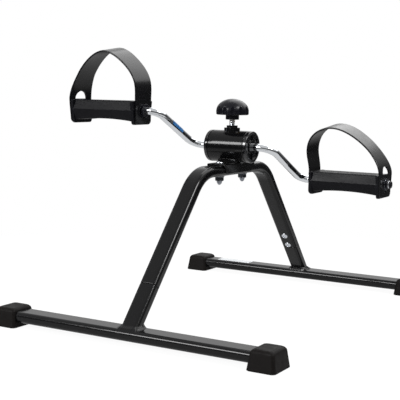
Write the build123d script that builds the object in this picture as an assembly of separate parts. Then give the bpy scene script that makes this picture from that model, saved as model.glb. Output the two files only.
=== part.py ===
"""Pedal exerciser: a welded arch on two rails, a braked crank and two strapped pedals.

Frame: millimetres, +Z up, the floor at Z = 0 and the origin under the middle of the hub.
The crank turns about X. The front rail is on the -Y side and both rails lie along X.
"""
from build123d import *
import os
from math import atan2, cos, radians, sin

# ---------------------------------------------------------------- driving dimensions
rail_spacing = 462.0        # between the two rails' centre lines, along Y
rail_length = 383.0         # one rail with its two feet
rail_width = 30.0
rail_height = 13.5
rail_wall = 1.5
rail_corner = 3.5
floor_gap = 5.8             # rubber under the rail's tube

foot_length = 34.5
foot_width = 42.0
foot_height = 23.4
foot_taper = 8.0            # degrees
foot_corner = 4.0
foot_crown = 3.5
foot_end_wall = 5.0
foot_clearance = 0.05

leg_width = 22.5            # the arch's tube, along X
leg_thickness = 14.0
leg_wall = 1.5
leg_corner = 3.5
arch_top = 194.3            # top face of the arch
arch_bend = 55.0            # centre-line radius of its two bends
arch_flat = 173.4           # between the two bends' corners, along Y
stub_length = 55.8          # welded stub, along the leg
insert_length = 90.0        # inner sleeve that joins a stub to the arch
insert_wall = 1.2
insert_clearance = 0.1
insert_start = 10.0
insert_corner = 2.0
leg_screw_radius = 2.5
leg_screw_head = 4.8
leg_screw_head_height = 2.2
leg_screw_length = 7.0
leg_screw_clearance = 0.1
leg_screw_first = 6.3       # from the seam to the first screw
leg_screw_pitch = 19.5

saddle_plate = 2.0
saddle_length = 82.0
saddle_depth = 11.0         # how far its sides reach down the arch
saddle_chamfer = 9.0
saddle_clearance = 0.1
bolt_spacing = 63.0
bolt_radius = 3.0
bolt_clearance = 0.3
bolt_head_radius = 5.2
bolt_head_height = 3.2
washer_radius = 6.4
washer_height = 1.2
acorn_flats = 10.0
acorn_hex = 5.4
acorn_dome = 5.4

hub_radius = 20.8
hub_wall = 2.5
hub_length = 62.5           # with its two end caps
hub_lift = 0.2              # between the saddle's top and the hub
cradle_width = 26.0         # weld-on cradle between saddle and hub, along X
cradle_length = 27.0        # along Y

rod_radius = 5.0            # one bent chrome rod: shaft, arms and pedal axles
rod_bend = 14.0
arm_inner = 58.0            # where an arm leaves the shaft, along X
arm_outer = 62.0            # where it meets the pedal's axle
crank_radius = 96.0
crank_angle = 28.0          # left arm above the horizontal, towards the front
running_gap = 0.05
seat_gap = 0.03             # between a curved piece and the one it is welded or pressed to

cap_flange = 4.5
cap_spigot = 9.0
cap_recess = 1.6
cap_rib = 1.4
cap_rim = 16.5
cap_core = 9.0
block_half_length = 12.0
block_half_width = 9.0
block_split = 0.4
block_top = 10.5
pad_clearance = 0.3
ring_radius = 8.0
ring_width = 1.2
thrust_washer = 1.0
thrust_radius = 11.0
axial_gap = 0.2
plate_half = 7.0
plate_height = 1.5

screw_radius = 4.0
boss_radius = 10.4
boss_rise = 3.6
boss_collar_radius = 7.2
boss_collar_rise = 6.6
boss_notch = 2.4
knob_radius = 21.6
knob_clearance = 20.5       # lower rim above the top of the hub
knob_height = 21.0
knob_band = 5.0
knob_edge = 2.0
knob_lobes = 12
knob_flute = 3.2
knob_collar_radius = 8.8
knob_collar_height = 6.3
insert_radius = 6.5
insert_height = 14.0

pedal_inner = 86.0          # tread's end faces, along X
pedal_outer = 183.8
right_pedal_shift = -2.0    # the right pedal has slid this far in along its axle
plate_thickness = 4.0
tread_top = 12.5            # above the axle
tread_crease = 0.3
tread_bottom = 14.2         # below the axle at its ends
tread_waist = 3.0           # how much shallower it is at mid length
tread_half_top = 18.0
tread_half_crease = 22.0
tread_half_bottom = 17.0
tread_groove = 1.2
groove_pitch = 7.0
groove_count = 5
tab_bottom = 18.0
tab_half_top = 23.6
tab_half_bottom = 18.8
strap_thickness = 2.2
strap_half_width = 19.0
strap_inner_half = 18.0
flare_height = 46.0
window_radius = 12.0
window_height = 10.0
bush_radius = 7.5
bush_length = 12.0
bush_flange = 9.0
bush_flange_height = 2.0
strap_hole_gap = 0.6
axle_washer_radius = 8.0
axle_washer_height = 1.2
axle_gap = 0.3
stop_ring_radius = 8.6
stop_ring_width = 3.0
axle_end = 189.5
axle_cap_radius = 6.2
axle_cap_disc = 2.4
axle_cap_end = 192.0

label_length = 56.0
label_width = 18.0
label_height = 0.2
label_middle = -113.0
sticker_start = 38.5        # along the left arm from the shaft's line
sticker_length = 26.0
sticker_height = 0.15
sticker_angle = 66.0
sticker_turn = 14.0         # its middle, from +X towards the arm's upper side

# Each strap's loop above its axle: knots from the outer end over the top to the inner end.
left_loop = [(186.0, 12.5), (180.8, 35.0), (162.5, 64.5), (135.5, 81.7),
             (104.0, 66.5), (84.0, 35.0), (83.8, 12.5)]
right_loop = [(184.0, 12.5), (175.5, 36.0), (149.5, 63.0), (108.0, 77.0),
              (84.5, 64.0), (77.5, 39.5), (81.8, 12.5)]

# ---------------------------------------------------------------- derived values
rail_y = rail_spacing / 2
rail_top = floor_gap + rail_height
rail_mid = floor_gap + rail_height / 2
arch_mid = arch_top - leg_thickness / 2
leg_angle = atan2(arch_mid - rail_top, rail_y - arch_flat / 2)
hub_z = arch_top + saddle_plate + hub_lift + hub_radius
knob_bottom = hub_radius + knob_clearance   # above the hub's centre
hub_bore = hub_radius - hub_wall
shell_half = hub_length / 2 - cap_flange
arm_y = crank_radius * cos(radians(crank_angle))
arm_z = crank_radius * sin(radians(crank_angle))

os.makedirs("parts", exist_ok=True)


def save(shape, name):
    """Write one node and print what it holds."""
    solids = shape.solids()
    node = solids[0] if len(solids) == 1 else Compound(children=list(solids))
    export_step(node, f"parts/{name}.step")
    print(name, len(solids), round(sum(s.volume for s in solids), 1))


def tube_section(plane, width, height, corner):
    """Rounded rectangle, width along the plane's first axis."""
    return plane * RectangleRounded(width, height, corner)


def hollow(plane, width, height, corner, wall, length):
    """Rounded rectangular tube from the plane along its normal."""
    outer = extrude(tube_section(plane, width, height, corner), length)
    inner = tube_section(plane, width - 2 * wall, height - 2 * wall, max(corner - wall, 0.4))
    return outer - extrude(inner, length)


def along_x(radius, start, end, y=0.0, z=0.0):
    """Cylinder about an axis parallel to X."""
    low, high = min(start, end), max(start, end)
    return Pos((low + high) / 2, y, z) * Rot(0, 90, 0) * Cylinder(radius, high - low)


def ring_x(outer, inner, start, end, y=0.0, z=0.0):
    """Ring about an axis parallel to X."""
    return along_x(outer, start, end, y, z) - along_x(inner, start, end, y, z)


def upright(radius, low, high, x=0.0, y=0.0):
    """Cylinder about an axis parallel to Z."""
    return Pos(x, y, (low + high) / 2) * Cylinder(radius, high - low)


def block(x0, x1, y0, y1, z0, z1):
    """Box between two corners."""
    return Pos((x0 + x1) / 2, (y0 + y1) / 2, (z0 + z1) / 2) * Box(x1 - x0, y1 - y0, z1 - z0)


def prism_x(outline, start, end, y, z):
    """Closed outline in Y and Z about (y, z), carried along X from start to end."""
    plane = Plane(origin=(start, y, z), x_dir=(0, 1, 0), z_dir=(1, 0, 0))
    return extrude(plane * make_face(outline), abs(end - start), dir=(1 if end > start else -1, 0, 0))


# ---------------------------------------------------------------- rails and feet
def rail(side):
    """Rail tube; side is -1 at the front and 1 at the rear."""
    half = rail_length / 2 - foot_end_wall
    start = Plane(origin=(-half, side * rail_y, rail_mid), x_dir=(0, 1, 0), z_dir=(1, 0, 0))
    return hollow(start, rail_width, rail_height, rail_corner, rail_wall, 2 * half)


def foot(side, end):
    """Rubber end cap with tapered sides, pushed over the rail's end."""
    middle = end * (rail_length - foot_length) / 2
    base = Plane(origin=(middle, side * rail_y, 0))
    outline = base * RectangleRounded(foot_length, foot_width, foot_corner)
    body = extrude(outline, foot_height, taper=foot_taper)
    body = fillet(body.faces().sort_by(Axis.Z)[-1].edges(), foot_crown)
    mouth = end * (rail_length / 2 - foot_length - 1)
    mouth_plane = Plane(origin=(mouth, side * rail_y, rail_mid), x_dir=(0, 1, 0), z_dir=(end, 0, 0))
    socket_size = (rail_width + 2 * foot_clearance, rail_height + 2 * foot_clearance)
    socket = tube_section(mouth_plane, *socket_size, rail_corner)
    return body - extrude(socket, foot_length + 1 - foot_end_wall)


# ---------------------------------------------------------------- legs and arch
def leg_plane(side, distance):
    """Plane across a leg, its distance measured up the leg from the rail's top."""
    y = side * (rail_y - distance * cos(leg_angle))
    z = rail_top + distance * sin(leg_angle)
    return Plane(origin=(0, y, z), x_dir=(1, 0, 0), z_dir=(0, -side * cos(leg_angle), sin(leg_angle)))


def stub(side):
    """Leg stub welded to a rail, its foot cut flush with the rail's top."""
    reach = leg_thickness
    start = leg_plane(side, -reach)
    body = hollow(start, leg_width, leg_thickness, leg_corner, leg_wall, stub_length + reach)
    return body - block(-leg_width, leg_width, -rail_spacing, rail_spacing, -rail_spacing, rail_top)


def insert(side):
    """Inner sleeve inside stub and arch, with two threaded holes."""
    width = leg_width - 2 * leg_wall - 2 * insert_clearance
    height = leg_thickness - 2 * leg_wall - 2 * insert_clearance
    start = leg_plane(side, insert_start)
    body = hollow(start, width, height, insert_corner, insert_wall, insert_length)
    for place in screw_places():
        body -= inner_cylinder(side, place, leg_screw_radius, leg_thickness / 2, leg_thickness * 0.55)
    return body


def screw_places():
    """Distances of the two leg screws up the leg."""
    return [stub_length + leg_screw_first + n * leg_screw_pitch for n in range(2)]


def inner_cylinder(side, distance, radius, outward, inward):
    """Cylinder across a leg's inner face; outward and inward are measured from the leg's middle."""
    plane = leg_plane(side, distance)
    normal = Vector(0, side * sin(leg_angle), cos(leg_angle))
    centre = plane.origin - normal * (outward - inward / 2)
    return Plane(origin=centre, z_dir=normal) * Cylinder(radius, inward)


def leg_screws(side):
    """Two pan-head screws through the arch's inner face into the insert."""
    screws = []
    for place in screw_places():
        head_seat = leg_thickness / 2
        shank = inner_cylinder(side, place, leg_screw_radius, head_seat, leg_screw_length)
        head_top = head_seat + leg_screw_head_height
        head = inner_cylinder(side, place, leg_screw_head, head_top, leg_screw_head_height)
        normal = Vector(0, side * sin(leg_angle), cos(leg_angle))
        outer_edges = head.faces().sort_by(Axis((0, 0, 0), tuple(normal)))[0].edges()
        head = fillet(outer_edges, leg_screw_head_height * 0.55)
        screws.append(head + shank)
    return Compound(children=screws)


def arch():
    """Bent tube from one stub's seam over the top to the other's."""
    ends = [leg_plane(side, stub_length).origin for side in (-1, 1)]
    corners = [(0, -arch_flat / 2, arch_mid), (0, arch_flat / 2, arch_mid)]
    path = FilletPolyline(tuple(ends[0]), *corners, tuple(ends[1]), radius=arch_bend)
    start = leg_plane(-1, stub_length)
    outer = sweep(tube_section(start, leg_width, leg_thickness, leg_corner), path=path)
    bore_size = (leg_width - 2 * leg_wall, leg_thickness - 2 * leg_wall)
    inside = tube_section(start, *bore_size, leg_corner - leg_wall)
    body = outer - sweep(inside, path=path)
    for side in (-1, 1):
        for place in screw_places():
            hole = leg_screw_radius + leg_screw_clearance
            body -= inner_cylinder(side, place, hole, leg_thickness / 2 + 1, leg_thickness * 0.55)
    for y in bolt_rows():
        body -= upright(bolt_radius + bolt_clearance, arch_top - 2 * leg_thickness, arch_top + 1, 0, y)
    return body


def bolt_rows():
    """Y of the two saddle bolts."""
    return [-bolt_spacing / 2, bolt_spacing / 2]


# ---------------------------------------------------------------- saddle and hub
def saddle():
    """Channel over the arch's top, its lower corners cut away."""
    half = leg_width / 2 + saddle_clearance
    outer = half + saddle_plate
    top = arch_top + saddle_plate
    low = arch_top - saddle_depth
    length = saddle_length / 2
    body = block(-outer, outer, -length, length, low, top)
    body -= block(-half, half, -length, length, low, arch_top)
    long_edges = body.edges().filter_by(Axis.Y).group_by(Axis.Z)[-1]
    body = fillet(long_edges, saddle_plate * 0.8)
    for side in (-1, 1):
        cut = Plane.YZ * make_face(Polyline(
            (side * length, arch_top - 1.5), (side * length, low - 1),
            (side * (length - saddle_chamfer), low - 1), (side * length, arch_top - 1.5)))
        body -= extrude(cut, outer + 1, both=True)
    for y in bolt_rows():
        body -= upright(bolt_radius + bolt_clearance, arch_top - 1, top + 1, 0, y)
    return body


def cradle():
    """Block welded between saddle and hub, hollowed to the hub's radius."""
    body = block(-cradle_width / 2, cradle_width / 2, -cradle_length / 2, cradle_length / 2,
                 arch_top + saddle_plate, hub_z - hub_radius * 0.62)
    return body - along_x(hub_radius + seat_gap, -hub_length, hub_length, 0, hub_z)


def saddle_bolts():
    """Two round-head bolts through saddle and arch."""
    top = arch_top + saddle_plate
    bottom = arch_top - leg_thickness - washer_height - acorn_hex
    bolts = []
    for y in bolt_rows():
        head = upright(bolt_head_radius, top, top + bolt_head_height, 0, y)
        head = fillet(head.edges().sort_by(Axis.Z)[-1], bolt_head_height * 0.7)
        bolts.append(head + upright(bolt_radius, bottom, top, 0, y))
    return Compound(children=bolts)


def saddle_washers():
    """Two plain washers under the arch."""
    top = arch_top - leg_thickness
    rings = []
    for y in bolt_rows():
        disc = upright(washer_radius, top - washer_height, top, 0, y)
        rings.append(disc - upright(bolt_radius + bolt_clearance, top - washer_height - 1, top + 1, 0, y))
    return Compound(children=rings)


def acorn_nuts():
    """Two domed nuts on the saddle bolts."""
    top = arch_top - leg_thickness - washer_height
    nuts = []
    for y in bolt_rows():
        start = Plane(origin=(0, y, top))
        hexagon = extrude(start * RegularPolygon(acorn_flats / 2, 6, major_radius=False), -acorn_hex)
        dome = upright(acorn_flats * 0.44, top - acorn_hex - acorn_dome, top - acorn_hex, 0, y)
        dome = fillet(dome.edges().sort_by(Axis.Z)[0], acorn_flats * 0.38)
        nut = hexagon + dome
        nuts.append(nut - upright(bolt_radius + seat_gap, top - acorn_hex - 0.3, top + 1, 0, y))
    return Compound(children=nuts)


def hub_shell():
    """Hub tube with the tension screw's hole on top."""
    body = ring_x(hub_radius, hub_bore, -shell_half, shell_half, 0, hub_z)
    return body - upright(screw_radius + 1.5, hub_z, hub_z + hub_radius + 1)


def end_cap(side):
    """Moulded bushing in the hub's end, its face recessed between six ribs."""
    inner_face = shell_half
    outer_face = hub_length / 2
    flange = along_x(hub_radius, side * inner_face, side * outer_face, 0, hub_z)
    rim = flange.edges().filter_by(GeomType.CIRCLE).sort_by(Axis.X)[-1 if side > 0 else 0]
    flange = fillet(rim, 1.2)
    spigot_end = inner_face - cap_spigot
    body = flange + along_x(hub_bore - seat_gap, side * spigot_end, side * inner_face, 0, hub_z)
    floor = outer_face - cap_recess
    recess = ring_x(cap_rim, cap_core, side * floor, side * (outer_face + 1), 0, hub_z)
    for n in range(3):
        turn = Rot(n * 60 + 30, 0, 0)
        recess -= Pos(side * outer_face, 0, hub_z) * turn * Box(3 * cap_recess, 2 * hub_radius, cap_rib)
    body -= recess
    return body - along_x(rod_radius + running_gap, -hub_length, hub_length, 0, hub_z)


def lower_block():
    """Nylon bearing block that fills the hub under the shaft."""
    body = along_x(hub_bore - seat_gap, -block_half_length, block_half_length, 0, hub_z)
    keep = block(-hub_length, hub_length, -block_half_width, block_half_width,
                 hub_z - hub_radius, hub_z - block_split)
    return (body & keep) - along_x(rod_radius + running_gap, -hub_length, hub_length, 0, hub_z)


def upper_block():
    """Brake block that the tension screw presses down on the shaft."""
    body = block(-block_half_length, block_half_length, -block_half_width, block_half_width,
                 hub_z + block_split, hub_z + block_top)
    return body - along_x(rod_radius + pad_clearance, -hub_length, hub_length, 0, hub_z)


def pressure_plate():
    """Steel plate between the screw's tip and the brake block."""
    low = hub_z + block_top
    return block(-plate_half, plate_half, -plate_half, plate_half, low, low + plate_height)


def shaft_rings():
    """Retaining rings on the shaft, inside the two end caps."""
    start = shell_half - cap_spigot - axial_gap - thrust_washer
    inner = rod_radius + seat_gap
    rings = [ring_x(ring_radius, inner, s * (start - ring_width), s * start, 0, hub_z) for s in (-1, 1)]
    return Compound(children=rings)


def thrust_washers():
    """Washers between the retaining rings and the end caps."""
    end = shell_half - cap_spigot
    start = end - thrust_washer
    inner = rod_radius + running_gap
    rings = [ring_x(thrust_radius, inner, s * start, s * end, 0, hub_z) for s in (-1, 1)]
    return Compound(children=rings)


# ---------------------------------------------------------------- tension screw and knob
def tension_boss():
    """Threaded boss welded on the hub, with a notched flange under a round collar."""
    top = hub_z + hub_radius
    flange = upright(boss_radius, hub_z, top + boss_rise)
    collar = upright(boss_collar_radius, hub_z, top + boss_collar_rise)
    body = flange + collar
    for n in range(4):
        notch = Pos(0, 0, top + boss_rise) * Rot(0, 0, 45 + 90 * n) * Pos(boss_radius, 0, 0)
        body -= notch * Box(2 * (boss_radius - boss_collar_radius), boss_notch, boss_notch)
    body -= along_x(hub_radius + seat_gap, -hub_length, hub_length, 0, hub_z)
    return body - upright(screw_radius + running_gap, hub_z, top + boss_collar_rise + 1)


def tension_screw():
    """Chrome screw from the pressure plate up into the knob."""
    low = hub_z + block_top + plate_height
    high = hub_z + knob_bottom + insert_height
    body = upright(screw_radius, low, high)
    return chamfer(body.edges().sort_by(Axis.Z)[0], 0.8)


def knob_insert():
    """Brass threaded insert moulded into the knob."""
    low = hub_z + knob_bottom - knob_collar_height
    high = hub_z + knob_bottom + insert_height
    return upright(insert_radius, low, high) - upright(screw_radius + seat_gap, low - 1, high + 1)


def knob():
    """Domed, fluted hand knob with a collar below."""
    low = hub_z + knob_bottom
    collar_low = low - knob_collar_height
    profile = Polyline((0, low), (knob_radius - knob_edge, low), (knob_radius, low + knob_edge),
                       (knob_radius, low + knob_band))
    dome = Spline((knob_radius, low + knob_band), (knob_radius * 0.72, low + knob_height * 0.77),
                  (0, low + knob_height), tangents=[(0, 1), (-1, 0)])
    face = make_face(Plane.XZ * (profile + dome + Line((0, low + knob_height), (0, low))))
    body = revolve(face, Axis.Z)
    for n in range(knob_lobes):
        flute = Rot(0, 0, n * 360 / knob_lobes) * Pos(knob_radius + knob_flute * 0.45, 0, low + knob_band / 2)
        body -= flute * Cylinder(knob_flute, knob_band + 6)
    body += upright(knob_collar_radius, collar_low, low)
    return body - upright(insert_radius + seat_gap, collar_low - 1, low + insert_height)


# ---------------------------------------------------------------- crank
def axle_place(side):
    """Y and Z of a pedal's axle; side is -1 at the left and 1 at the right."""
    return side * arm_y, hub_z - side * arm_z


def crank_rod():
    """Round rod bent into shaft, two opposed arms and two pedal axles."""
    left_y, left_z = axle_place(-1)
    right_y, right_z = axle_place(1)
    points = [(-axle_end, left_y, left_z), (-arm_outer, left_y, left_z), (-arm_inner, 0, hub_z),
              (arm_inner, 0, hub_z), (arm_outer, right_y, right_z), (axle_end, right_y, right_z)]
    path = FilletPolyline(*points, radius=rod_bend)
    start = Plane(origin=points[0], z_dir=(1, 0, 0))
    return sweep(start * Circle(rod_radius), path=path)


def crank_sticker():
    """Plain blue strip wrapped part of the way round the left arm."""
    left_y, left_z = axle_place(-1)
    foot_point = Vector(-arm_inner, 0, hub_z)
    direction = (Vector(-arm_outer, left_y, left_z) - foot_point).normalized()
    turn, slope = radians(sticker_turn), radians(crank_angle)
    facing = Vector(cos(turn), sin(turn) * sin(slope), sin(turn) * cos(slope))
    facing = facing - direction * facing.dot(direction)
    plane = Plane(origin=foot_point + direction * sticker_start, x_dir=facing, z_dir=direction)
    half = sticker_angle / 2
    inner = rod_radius + seat_gap
    outer = inner + sticker_height
    corners = [(r * cos(radians(a)), r * sin(radians(a))) for r, a in
               ((inner, -half), (outer, -half), (outer, half), (inner, half))]
    outline = Line(corners[0], corners[1])
    outline += ThreePointArc(corners[1], (outer, 0), corners[2])
    outline += Line(corners[2], corners[3])
    outline += ThreePointArc(corners[3], (inner, 0), corners[0])
    return extrude(plane * make_face(outline), sticker_length)


# ---------------------------------------------------------------- pedals
def pedal_ends(side):
    """How far out a pedal's inner and outer end faces are along X."""
    shift = right_pedal_shift if side > 0 else 0.0
    return pedal_inner + shift, pedal_outer + shift


def tread(side):
    """Six-sided foot block between two end plates, bored for the bushes."""
    y, z = axle_place(side)
    x0, x1 = (side * end for end in pedal_ends(side))
    low, high = min(x0, x1), max(x0, x1)
    bottom = -tread_bottom
    section = Polyline(
        (-tread_half_top, tread_top), (tread_half_top, tread_top), (tread_half_crease, tread_crease),
        (tread_half_bottom, bottom), (-tread_half_bottom, bottom), (-tread_half_crease, tread_crease),
        close=True)
    body = prism_x(section, low, high, y, z)
    half = (high - low) / 2 - plate_thickness
    arch_radius = (half ** 2 + tread_waist ** 2) / (2 * tread_waist)
    waist = Pos((low + high) / 2, y, z + bottom + tread_waist - arch_radius) * Rot(90, 0, 0)
    body -= waist * Cylinder(arch_radius, 3 * tread_half_crease)
    for n in range(groove_count):
        gy = y + (n - (groove_count - 1) / 2) * groove_pitch
        body -= block(low + 8, high - 8, gy - tread_groove / 2, gy + tread_groove / 2,
                      z + tread_top - tread_groove, z + tread_top + 1)
    body += end_plate(low, low + plate_thickness, y, z) + end_plate(high - plate_thickness, high, y, z)
    body -= along_x(rod_radius + 1.0, low - 1, high + 1, y, z)
    for end in (low, high):
        body -= along_x(bush_radius + seat_gap, end - bush_length, end + bush_length, y, z)
    return body


def end_plate(start, end, y, z):
    """Trapezium end plate, wider at the top."""
    outline = Polyline((-tab_half_top, tread_top), (tab_half_top, tread_top),
                       (tab_half_bottom, -tab_bottom), (-tab_half_bottom, -tab_bottom), close=True)
    body = prism_x(outline, start, end, y, z)
    return fillet(body.edges().filter_by(Axis.X).group_by(Axis.Z)[0], 4.0)


def strap(side, loop):
    """Moulded strap: a loop over the foot, its outer end flared and pierced by a half-round window."""
    y, z = axle_place(side)
    outer_line = Spline(*loop, tangents=[(0, 1), (0, -1)])
    count = 9
    inner_knots = []
    for n in range(count):
        t = n / (count - 1)
        place = outer_line.position_at(t)
        way = outer_line.tangent_at(t)
        inner_knots.append((place.X - strap_thickness * way.Y, place.Y + strap_thickness * way.X))
    inner_line = Spline(*inner_knots, tangents=[(0, 1), (0, -1)])
    base = -tab_bottom + 1.0
    outside, inside = loop[0], loop[-1]
    first, last = inner_knots[0], inner_knots[-1]
    inner_end = Polyline(inside, (inside[0], base), (last[0], base), last)
    outer_end = Polyline(first, (first[0], base), (outside[0], base), outside)
    lines = [outer_line, inner_end, inner_line, outer_end]
    start = Plane(origin=(0, y, z), x_dir=(side, 0, 0), z_dir=(0, -side, 0))
    body = extrude(start * make_face(lines), tab_half_top + 2, both=True)
    middle = (loop[0][0] + loop[-1][0]) / 2
    top = max(p[1] for p in loop) + 5
    outer_shape = Polyline(
        (-tab_half_bottom, base - 1), (-tab_half_top, tread_top), (-tab_half_top + 0.8, tread_top + 8),
        (-strap_half_width, flare_height), (-strap_half_width, top), (strap_half_width, top),
        (strap_half_width, flare_height), (tab_half_top - 0.8, tread_top + 8), (tab_half_top, tread_top),
        (tab_half_bottom, base - 1), close=True)
    inner_shape = Polyline(
        (-strap_inner_half, base - 1), (-strap_inner_half, tread_top), (-strap_half_width, flare_height),
        (-strap_half_width, top), (strap_half_width, top), (strap_half_width, flare_height),
        (strap_inner_half, tread_top), (strap_inner_half, base - 1), close=True)
    outer_keep = prism_x(outer_shape, side * middle, side * 2 * middle, y, z)
    inner_keep = prism_x(inner_shape, 0, side * middle, y, z)
    body = body & (outer_keep + inner_keep)
    arc = ThreePointArc((-window_radius, 0), (0, window_height), (window_radius, 0))
    window = arc + Line((window_radius, 0), (-window_radius, 0))
    body -= prism_x(window, side * middle, side * 2 * middle, y, z + tread_top + 1.0)
    hole = bush_flange + strap_hole_gap
    return body - along_x(hole, side * 60, side * 200, y, z)


def bushes(side):
    """Two flanged nylon bushes pressed into a tread."""
    y, z = axle_place(side)
    result = []
    inner_end, outer_end = pedal_ends(side)
    for end, way in ((inner_end, 1), (outer_end, -1)):
        barrel = along_x(bush_radius, side * end, side * (end + way * bush_length), y, z)
        flange = along_x(bush_flange, side * end, side * (end - way * bush_flange_height), y, z)
        result.append(barrel + flange - along_x(rod_radius + running_gap, side * 60, side * 200, y, z))
    return Compound(children=result)


def axle_washers(side):
    """Washers on the axle at both ends of a pedal."""
    y, z = axle_place(side)
    inner = pedal_ends(side)[0] - bush_flange_height - axle_gap
    outer = pedal_ends(side)[1] + bush_flange_height + axle_gap
    bore = rod_radius + seat_gap
    faces = ((inner, inner - axle_washer_height), (outer, outer + axle_washer_height))
    rings = [ring_x(axle_washer_radius, bore, side * start, side * end, y, z) for start, end in faces]
    return Compound(children=rings)


def stop_ring(side):
    """Collar on the axle, inboard of a pedal."""
    y, z = axle_place(side)
    end = pedal_ends(side)[0] - bush_flange_height - axle_gap - axle_washer_height
    ring = ring_x(stop_ring_radius, rod_radius + seat_gap, side * end, side * (end - stop_ring_width), y, z)
    return ring


def axle_cap(side):
    """Push-on cap that holds a pedal on its axle."""
    y, z = axle_place(side)
    start = pedal_ends(side)[1] + bush_flange_height + axle_gap + axle_washer_height
    disc = along_x(axle_cap_radius, side * start, side * (start + axle_cap_disc), y, z)
    nose = along_x(axle_cap_radius * 0.8, side * start, side * axle_cap_end, y, z)
    tip = nose.edges().filter_by(GeomType.CIRCLE).sort_by(Axis.X)[-1 if side > 0 else 0]
    nose = fillet(tip, 1.5)
    bore = along_x(rod_radius + seat_gap, side * (start - 1), side * (axle_end + seat_gap), y, z)
    return disc + nose - bore


def rail_label():
    """Plain label on the rear rail's top."""
    return block(label_middle - label_length / 2, label_middle + label_length / 2,
                 rail_y - label_width / 2, rail_y + label_width / 2, rail_top, rail_top + label_height)


# ---------------------------------------------------------------- all nodes
for side, row in ((-1, "front"), (1, "rear")):
    save(rail(side), f"{row}_rail")
    for end, hand in ((-1, "left"), (1, "right")):
        save(foot(side, end), f"{row}_{hand}_foot")
    save(stub(side), f"{row}_leg_stub")
    save(insert(side), f"{row}_leg_insert")
    save(leg_screws(side), f"{row}_leg_screws")

save(arch(), "arch_tube")
save(saddle(), "hub_saddle")
save(cradle(), "hub_cradle")
save(saddle_bolts(), "saddle_bolts")
save(saddle_washers(), "saddle_washers")
save(acorn_nuts(), "acorn_nuts")
save(hub_shell(), "hub_shell")
save(end_cap(-1), "left_hub_cap")
save(end_cap(1), "right_hub_cap")
save(lower_block(), "bearing_block")
save(upper_block(), "brake_block")
save(pressure_plate(), "pressure_plate")
save(shaft_rings(), "shaft_rings")
save(thrust_washers(), "thrust_washers")
save(tension_boss(), "tension_boss")
save(tension_screw(), "tension_screw")
save(knob_insert(), "knob_insert")
save(knob(), "tension_knob")
save(crank_rod(), "crank_rod")
save(crank_sticker(), "crank_sticker")
save(rail_label(), "rail_label")

for side, hand, loop in ((-1, "left", left_loop), (1, "right", right_loop)):
    save(tread(side), f"{hand}_tread")
    save(strap(side, loop), f"{hand}_strap")
    save(bushes(side), f"{hand}_pedal_bushes")
    save(axle_washers(side), f"{hand}_axle_washers")
    save(stop_ring(side), f"{hand}_stop_ring")
    save(axle_cap(side), f"{hand}_axle_cap")
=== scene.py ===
"""Looks of a pedal exerciser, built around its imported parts.

Metres, +Z up, the floor at Z = 0 and the origin under the middle of the hub. The crank turns about
X, the front rail is on the -Y side, and every piece rides on the body that its node belongs to.
"""

import logging
import math
from dataclasses import dataclass
from enum import Enum
from typing import Sequence

import bmesh
import bpy
import numpy as np
from mathutils import Matrix, Vector


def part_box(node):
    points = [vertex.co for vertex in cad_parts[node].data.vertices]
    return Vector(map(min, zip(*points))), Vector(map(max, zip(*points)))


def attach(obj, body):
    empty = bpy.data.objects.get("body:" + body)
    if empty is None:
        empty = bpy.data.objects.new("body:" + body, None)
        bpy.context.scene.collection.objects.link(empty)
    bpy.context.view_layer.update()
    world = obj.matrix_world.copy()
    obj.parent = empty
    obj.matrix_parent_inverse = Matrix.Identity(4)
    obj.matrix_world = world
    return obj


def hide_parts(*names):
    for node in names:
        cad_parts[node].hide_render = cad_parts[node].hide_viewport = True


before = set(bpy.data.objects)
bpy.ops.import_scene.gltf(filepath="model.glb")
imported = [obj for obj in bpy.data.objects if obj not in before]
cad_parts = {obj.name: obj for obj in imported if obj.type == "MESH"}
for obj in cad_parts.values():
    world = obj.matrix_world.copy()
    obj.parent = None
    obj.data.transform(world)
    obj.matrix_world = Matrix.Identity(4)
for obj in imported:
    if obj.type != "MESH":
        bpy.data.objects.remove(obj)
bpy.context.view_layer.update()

log = logging.getLogger("exerciser")
MM = 0.001
X_AXIS = np.array([1.0, 0.0, 0.0])
Y_AXIS = np.array([0.0, 1.0, 0.0])
Z_AXIS = np.array([0.0, 0.0, 1.0])
FULL_TURN = 2 * math.pi
QUARTER = math.pi / 2
# Spans in the quarter circle that rounds a sweep's end edges.
EASE_STEPS = 3
# Metres: points closer than the first become one, and edges shorter than the second go.
MERGE_DISTANCE = 1e-6
FLAT_DISTANCE = 1e-7
# How a copied node is cleaned before its edges are rounded: metres, then degrees.
NODE_MERGE_DISTANCE = 2e-6
NODE_FLAT_ANGLE = 0.8
NODE_SHARP_ANGLE = 30
NODE_BEVEL_ANGLE = 35


class Body(Enum):
    """The bodies that pieces ride on."""

    FRAME = "frame"
    CRANK = "crank"
    LEFT_PEDAL = "left_pedal"
    RIGHT_PEDAL = "right_pedal"
    BRAKE = "brake"
    HANDLE = "tension_handle"


class Side(Enum):
    """The two hands of the crank and its pedals, with the sign of X."""

    LEFT = -1
    RIGHT = 1

    @property
    def hand(self) -> str:
        """Lower-case name used in node names."""
        return self.name.lower()


# ------------------------------------------------------------------ surfaces


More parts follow.
